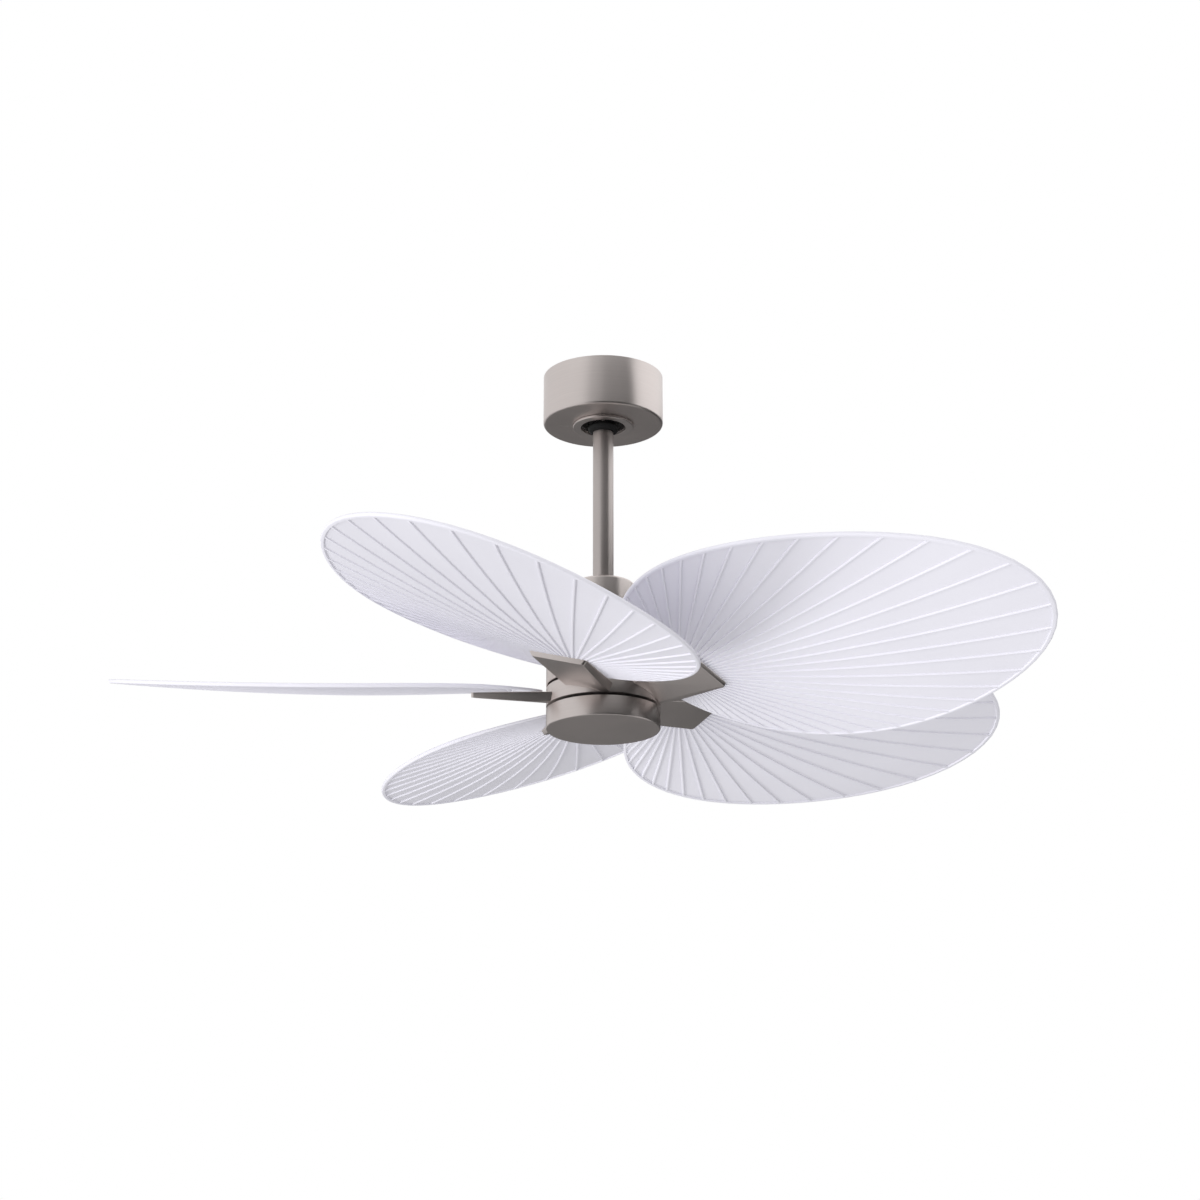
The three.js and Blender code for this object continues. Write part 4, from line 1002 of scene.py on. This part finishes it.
print("a leaf has", len(RING_PLAN), "rings and", SPOKES, "spokes")

# %% Where a corner of the disc belongs
FIRST_GUESS = 100.0
PASSES = 3


def leaf_place(ring, spoke):
    """A rib's own spokes keep their distance from its middle line, found in a few passes."""
    how_far, kind, height = RING_PLAN[ring]
    rib, step = divmod(spoke, SPOKES_PER_RIB)
    aside, crest = RIB_SECTION[step] if step < len(RIB_SECTION) else (0, 0)
    turn = RIB_STEP * (rib if step < len(RIB_SECTION) else rib + 0.5)
    direction, distance = turn, FIRST_GUESS
    for _ in range(PASSES):
        half_rib = min(RIB_HALF_WIDTH, RIB_FILL * distance * math.tan(RIB_STEP / 2))
        direction = turn + math.atan2(aside * half_rib, max(distance, 1.0))
        distance = how_far(seat_distance(direction), rim_distance(direction))
    x, y = FOCUS + distance * math.cos(direction), distance * math.sin(direction)
    if kind == "seat":
        return x, y, arm_top(x) + SEAT_GAP + height
    if kind == "rim":
        height *= rim_half(x)
    if kind == "rib":
        ribbed = crest if min(rib, RIB_PLACES - rib) <= RIBS_EACH_SIDE else 0
        height = -PANEL_UNDER - (rim_half(x) - PANEL_UNDER) * ribbed
    return x, y, dish(x, y) + height


rib_end = leaf_place(len(UNDER_SHARES) + 1, SPOKES_PER_RIB // 2 - 1)
print("the middle rib ends at", [round(v, 1) for v in rib_end], "mm")

# %% Make the leaves
LEAF_HARD_EDGE = math.radians(38)


def leaf_mesh():
    """A line of points spun into a disc of rings and spokes, and every corner moved to its place."""
    mesh = bmesh.new()
    line = [mesh.verts.new((ring + 1, 0, 0)) for ring in range(len(RING_PLAN))]
    links = [mesh.edges.new(pair) for pair in zip(line, line[1:])]
    bmesh.ops.spin(mesh, geom=line + links, cent=(0, 0, 0), axis=(0, 0, 1), angle=math.tau,
                   steps=SPOKES, use_merge=True)
    for vert in mesh.verts:
        spoke = round(math.atan2(vert.co.y, vert.co.x) / math.tau * SPOKES) % SPOKES
        vert.co = leaf_place(round(math.hypot(vert.co.x, vert.co.y)) - 1, spoke)
    return mesh


leaf_pattern = finished(leaf_mesh(), "leaf_pattern", leaf_white, hard=LEAF_HARD_EDGE)
for number, place in enumerate(poses, 1):
    blade = copied(leaf_pattern, f"palm_leaf_{number}", place)
    blade.visible_glossy = False
    settle(blade, ROTOR, f"blade_{number}")
print("leaf faces", len(leaf_pattern.data.polygons))
bpy.data.objects.remove(leaf_pattern)

# %% [markdown]
# ## Screws
# Pan-head machine screws hold each leaf to its arm, and their heads face up. A domed head is spun from
# its section, and two crossed slots are cut into it for the driver. No two screws stop at the same turn
# when they are driven home, so each copy is turned a little further.

# %% Pan-head screws
SHANK = 2.1
DOME = ((1, 0.35), (0.8, 0.8), (0.45, 1))
DRIVE_LENGTH, DRIVE_WIDTH, DRIVE_FLOOR = 0.55, 0.11, 0.35
SCREW_STEPS = 32
SCREW_EDGE = 0.15


def pan_head(name, head, height, reach):
    """A screw with the underside of its head at z = 0 and its shank pointing down."""
    dome = [(head * across, height * up) for across, up in DOME]
    piece = turned(name, zinc, [
        (0, -reach), (SHANK, -reach), (SHANK, 0), (head, 0), *dome, (0, height),
    ], SCREW_STEPS, SCREW_EDGE)
    length, width, floor = head * DRIVE_LENGTH, head * DRIVE_WIDTH, height * DRIVE_FLOOR
    for turn in (0, 90):
        slot = box((-length, -width, floor), (length, width, height * 2))
        carved(piece, slot, place=Matrix.Rotation(math.radians(turn), 4, "Z"))
    return piece


blade_screw = pan_head("blade_screw_pattern", head=5, height=2.4, reach=9.6)
arm_screw = pan_head("arm_screw_pattern", head=4.6, height=3, reach=12.5)
canopy_screw = pan_head("canopy_screw_pattern", head=2.7, height=1.8, reach=6.5)
print("screw faces", len(blade_screw.data.polygons))

# %% Set the screws in their places
BLADE_SCREWS = ((152, -20), (152, 20), (118, 0))
BLADE_HEAD_GAP = 0.45
HEAD_GAP = 0.3
ARM_SCREW_AT = 58
CANOPY_SCREW_AT = 35.5
LAST_TURN = 40


def screwed(pattern, node, body, place):
    settle(copied(pattern, "driven_" + node, place), body, node)


for number, place in enumerate(poses, 1):
    hole_place = place @ Matrix.Translation((ARM_SCREW_AT, 0, TONGUE_HIGH + HEAD_GAP))
    screwed(arm_screw, f"arm_screw_{number}", ROTOR, hole_place)
    for hole, (x, y) in enumerate(BLADE_SCREWS, 1):
        seat = arm_top(x) + SEAT_GAP + SEAT_THICK + BLADE_HEAD_GAP
        stopped = Matrix.Rotation(math.radians(LAST_TURN * hole * number), 4, "Z")
        spot = place @ Matrix.Translation((x, y, seat)) @ stopped
        screwed(blade_screw, f"blade_{number}_screw_{hole}", ROTOR, spot)
for number, side in ((1, -1), (2, 1)):
    below = Matrix.Translation((side * CANOPY_SCREW_AT, 0, canopy_low.z - HEAD_GAP))
    screwed(canopy_screw, f"canopy_screw_{number}", CEILING, below @ Matrix.Rotation(math.pi, 4, "X"))
for pattern in (blade_screw, arm_screw, canopy_screw):
    bpy.data.objects.remove(pattern)
print("screws:", BLADES * (len(BLADE_SCREWS) + 1) + 2)

# %% [markdown]
# ## What stays as the CAD made it
# The motor's inner pieces and the plate and nut under it are right as they are. They keep their CAD
# meshes and only get a finish.

# %% Finish the pieces that stay
kept = []
for node, part in frame["nodes"].items():
    if not part.hide_render:
        part.data.materials.clear()
        part.data.materials.append(small_finishes[slot_of[node]])
        kept.append(node)
print("kept as they are:", ", ".join(sorted(kept)))

# %% [markdown]
# ## Floor, room and light
# The fan hangs in a bright, plain room. The floor is far below the camera's view but sends light up to
# the leaves. The world is white where the camera or a reflection sees it. Two soft lamps low on the left
# shade the ribs on the leaves' undersides, and one high behind on the right lights the edges. The low
# lamps shine from under the floor, so the floor stops no light. Brushed metal looks like metal only if
# something dark is reflected in it, so dark and grey screens stand outside the picture, as in any
# product studio, seen by reflections alone.

# %% Floor
FLOOR_HEIGHT = -4.3
FLOOR_RADIUS = 20
FLOOR_GREY = 0.7
floor_data = bpy.data.meshes.new("floor")
floor_mesh = bmesh.new()
bmesh.ops.create_circle(floor_mesh, cap_ends=True, segments=96, radius=FLOOR_RADIUS)
floor_mesh.transform(Matrix.Translation((0, 0, FLOOR_HEIGHT)))
floor_mesh.to_mesh(floor_data)
floor_mesh.free()
floor_finish = Finish("pale_floor", roughness=0.9)
floor_finish.shade("Base Color", (FLOOR_GREY, FLOOR_GREY, FLOOR_GREY, 1))
floor_data.materials.append(floor_finish.material)
floor = placed("floor", floor_data)
floor.visible_shadow = False
print("floor at", FLOOR_HEIGHT, "m")

# %% World
ROOM_LIGHT = 0.85
world = bpy.data.worlds.new("room")
bpy.context.scene.world = world
world.use_nodes = True
world.cycles.sampling_method = "NONE"

room = Nodes(world.node_tree)
background = world.node_tree.nodes["Background"]
background.inputs["Color"].default_value = (1, 1, 1, 1)
background.inputs["Strength"].default_value = ROOM_LIGHT
white = room.node("ShaderNodeBackground", None, {"Color": (1, 1, 1, 1), "Strength": 1.0})
seen = room.node("ShaderNodeLightPath", output="Is Camera Ray")
for ray in ("Is Glossy Ray", "Is Transmission Ray"):
    seen = seen.math("MAXIMUM", seen, room.node("ShaderNodeLightPath", output=ray))
either = room.node("ShaderNodeMixShader", None, {0: seen, 1: Value(room, background.outputs[0]), 2: white})
room.feed(world.node_tree.nodes["World Output"].inputs["Surface"], either)
print("room light", ROOM_LIGHT)


# %% Three soft lamps
def lamp(name, azimuth, elevation, level, spread):
    """A far lamp that sends light from a direction. Azimuth 0 is the camera's side, 90 the right."""
    around, up = math.radians(azimuth), math.radians(elevation)
    towards = Vector((math.sin(around) * math.cos(up), -math.cos(around) * math.cos(up), math.sin(up)))
    sun = bpy.data.lights.new(name, "SUN")
    sun.energy = level
    sun.angle = math.radians(spread)
    far = placed(name, sun)
    far.rotation_euler = towards.to_track_quat("Z", "Y").to_euler()
    far.visible_glossy = False


lamp("front_key", azimuth=-34, elevation=-12, level=1.0, spread=34)
lamp("left_key", azimuth=-86, elevation=-30, level=1.0, spread=24)
lamp("edge_light", azimuth=125, elevation=35, level=1.0, spread=40)
print("lamps:", len(bpy.data.lights))

# %% Screens that only reflections see
SCREEN_RADIUS = 2.1
SCREEN_HEIGHT = -0.25
SCREEN_POINTS = 9
SCREEN_STEPS = 24


def screen(name, azimuths, elevations, level, radius=SCREEN_RADIUS, height=SCREEN_HEIGHT):
    """A piece of a large ball round the fan. Azimuth 0 is the camera's side and 90 is to its right."""
    first, last = (math.radians(azimuth) for azimuth in azimuths)
    mesh = bmesh.new()
    section = arc((0, height), radius, *elevations, SCREEN_POINTS)
    line = [mesh.verts.new((0, -out, up)) for out, up in section]
    bmesh.ops.rotate(mesh, cent=(0, 0, 0), matrix=Matrix.Rotation(first, 3, "Z"), verts=line)
    links = [mesh.edges.new(pair) for pair in zip(line, line[1:])]
    bmesh.ops.spin(mesh, geom=line + links, cent=(0, 0, 0), axis=(0, 0, 1), angle=last - first,
                   steps=SCREEN_STEPS)
    data = bpy.data.meshes.new(name)
    mesh.to_mesh(data)
    mesh.free()
    finish = Finish(name, roughness=1.0, specular_ior_level=0.0)
    finish.shade("Base Color", (0, 0, 0, 1))
    finish.shade("Emission Color", (1, 1, 1, 1))
    finish.shade("Emission Strength", level)
    data.materials.append(finish.material)
    panel = placed(name, data)
    panel.visible_camera = False
    panel.visible_diffuse = False
    panel.visible_shadow = False


screen("screen_left", (-125, -29), (-60, 55), 0.73)
screen("screen_back_left", (-155, -125), (-12, 55), 0.73)
screen("screen_front_left", (-29, -2), (3, 60), 0.46)
screen("screen_front", (-2, 45), (3, 60), 0.26)
screen("screen_front_right", (45, 61), (3, 60), 0.05)
screen("screen_low_front", (-29, 70), (-60, 3), 0.01)
screen("screen_low_back", (120, 235), (-60, -12), 0.15)
screen("screen_below", (-180, 180), (-89, -60), 0.38)
screen("screen_mid_back", (130, 215), (-12, 20), 0.15)
screen("screen_hub_right", (70, 150), (-38, 10), 0.03, radius=0.8, height=-0.26)

# %% [markdown]
# ## View transform
# The last cell sets the plain Standard view transform.

# %% Set the view transform
bpy.context.scene.view_settings.view_transform = "Standard"
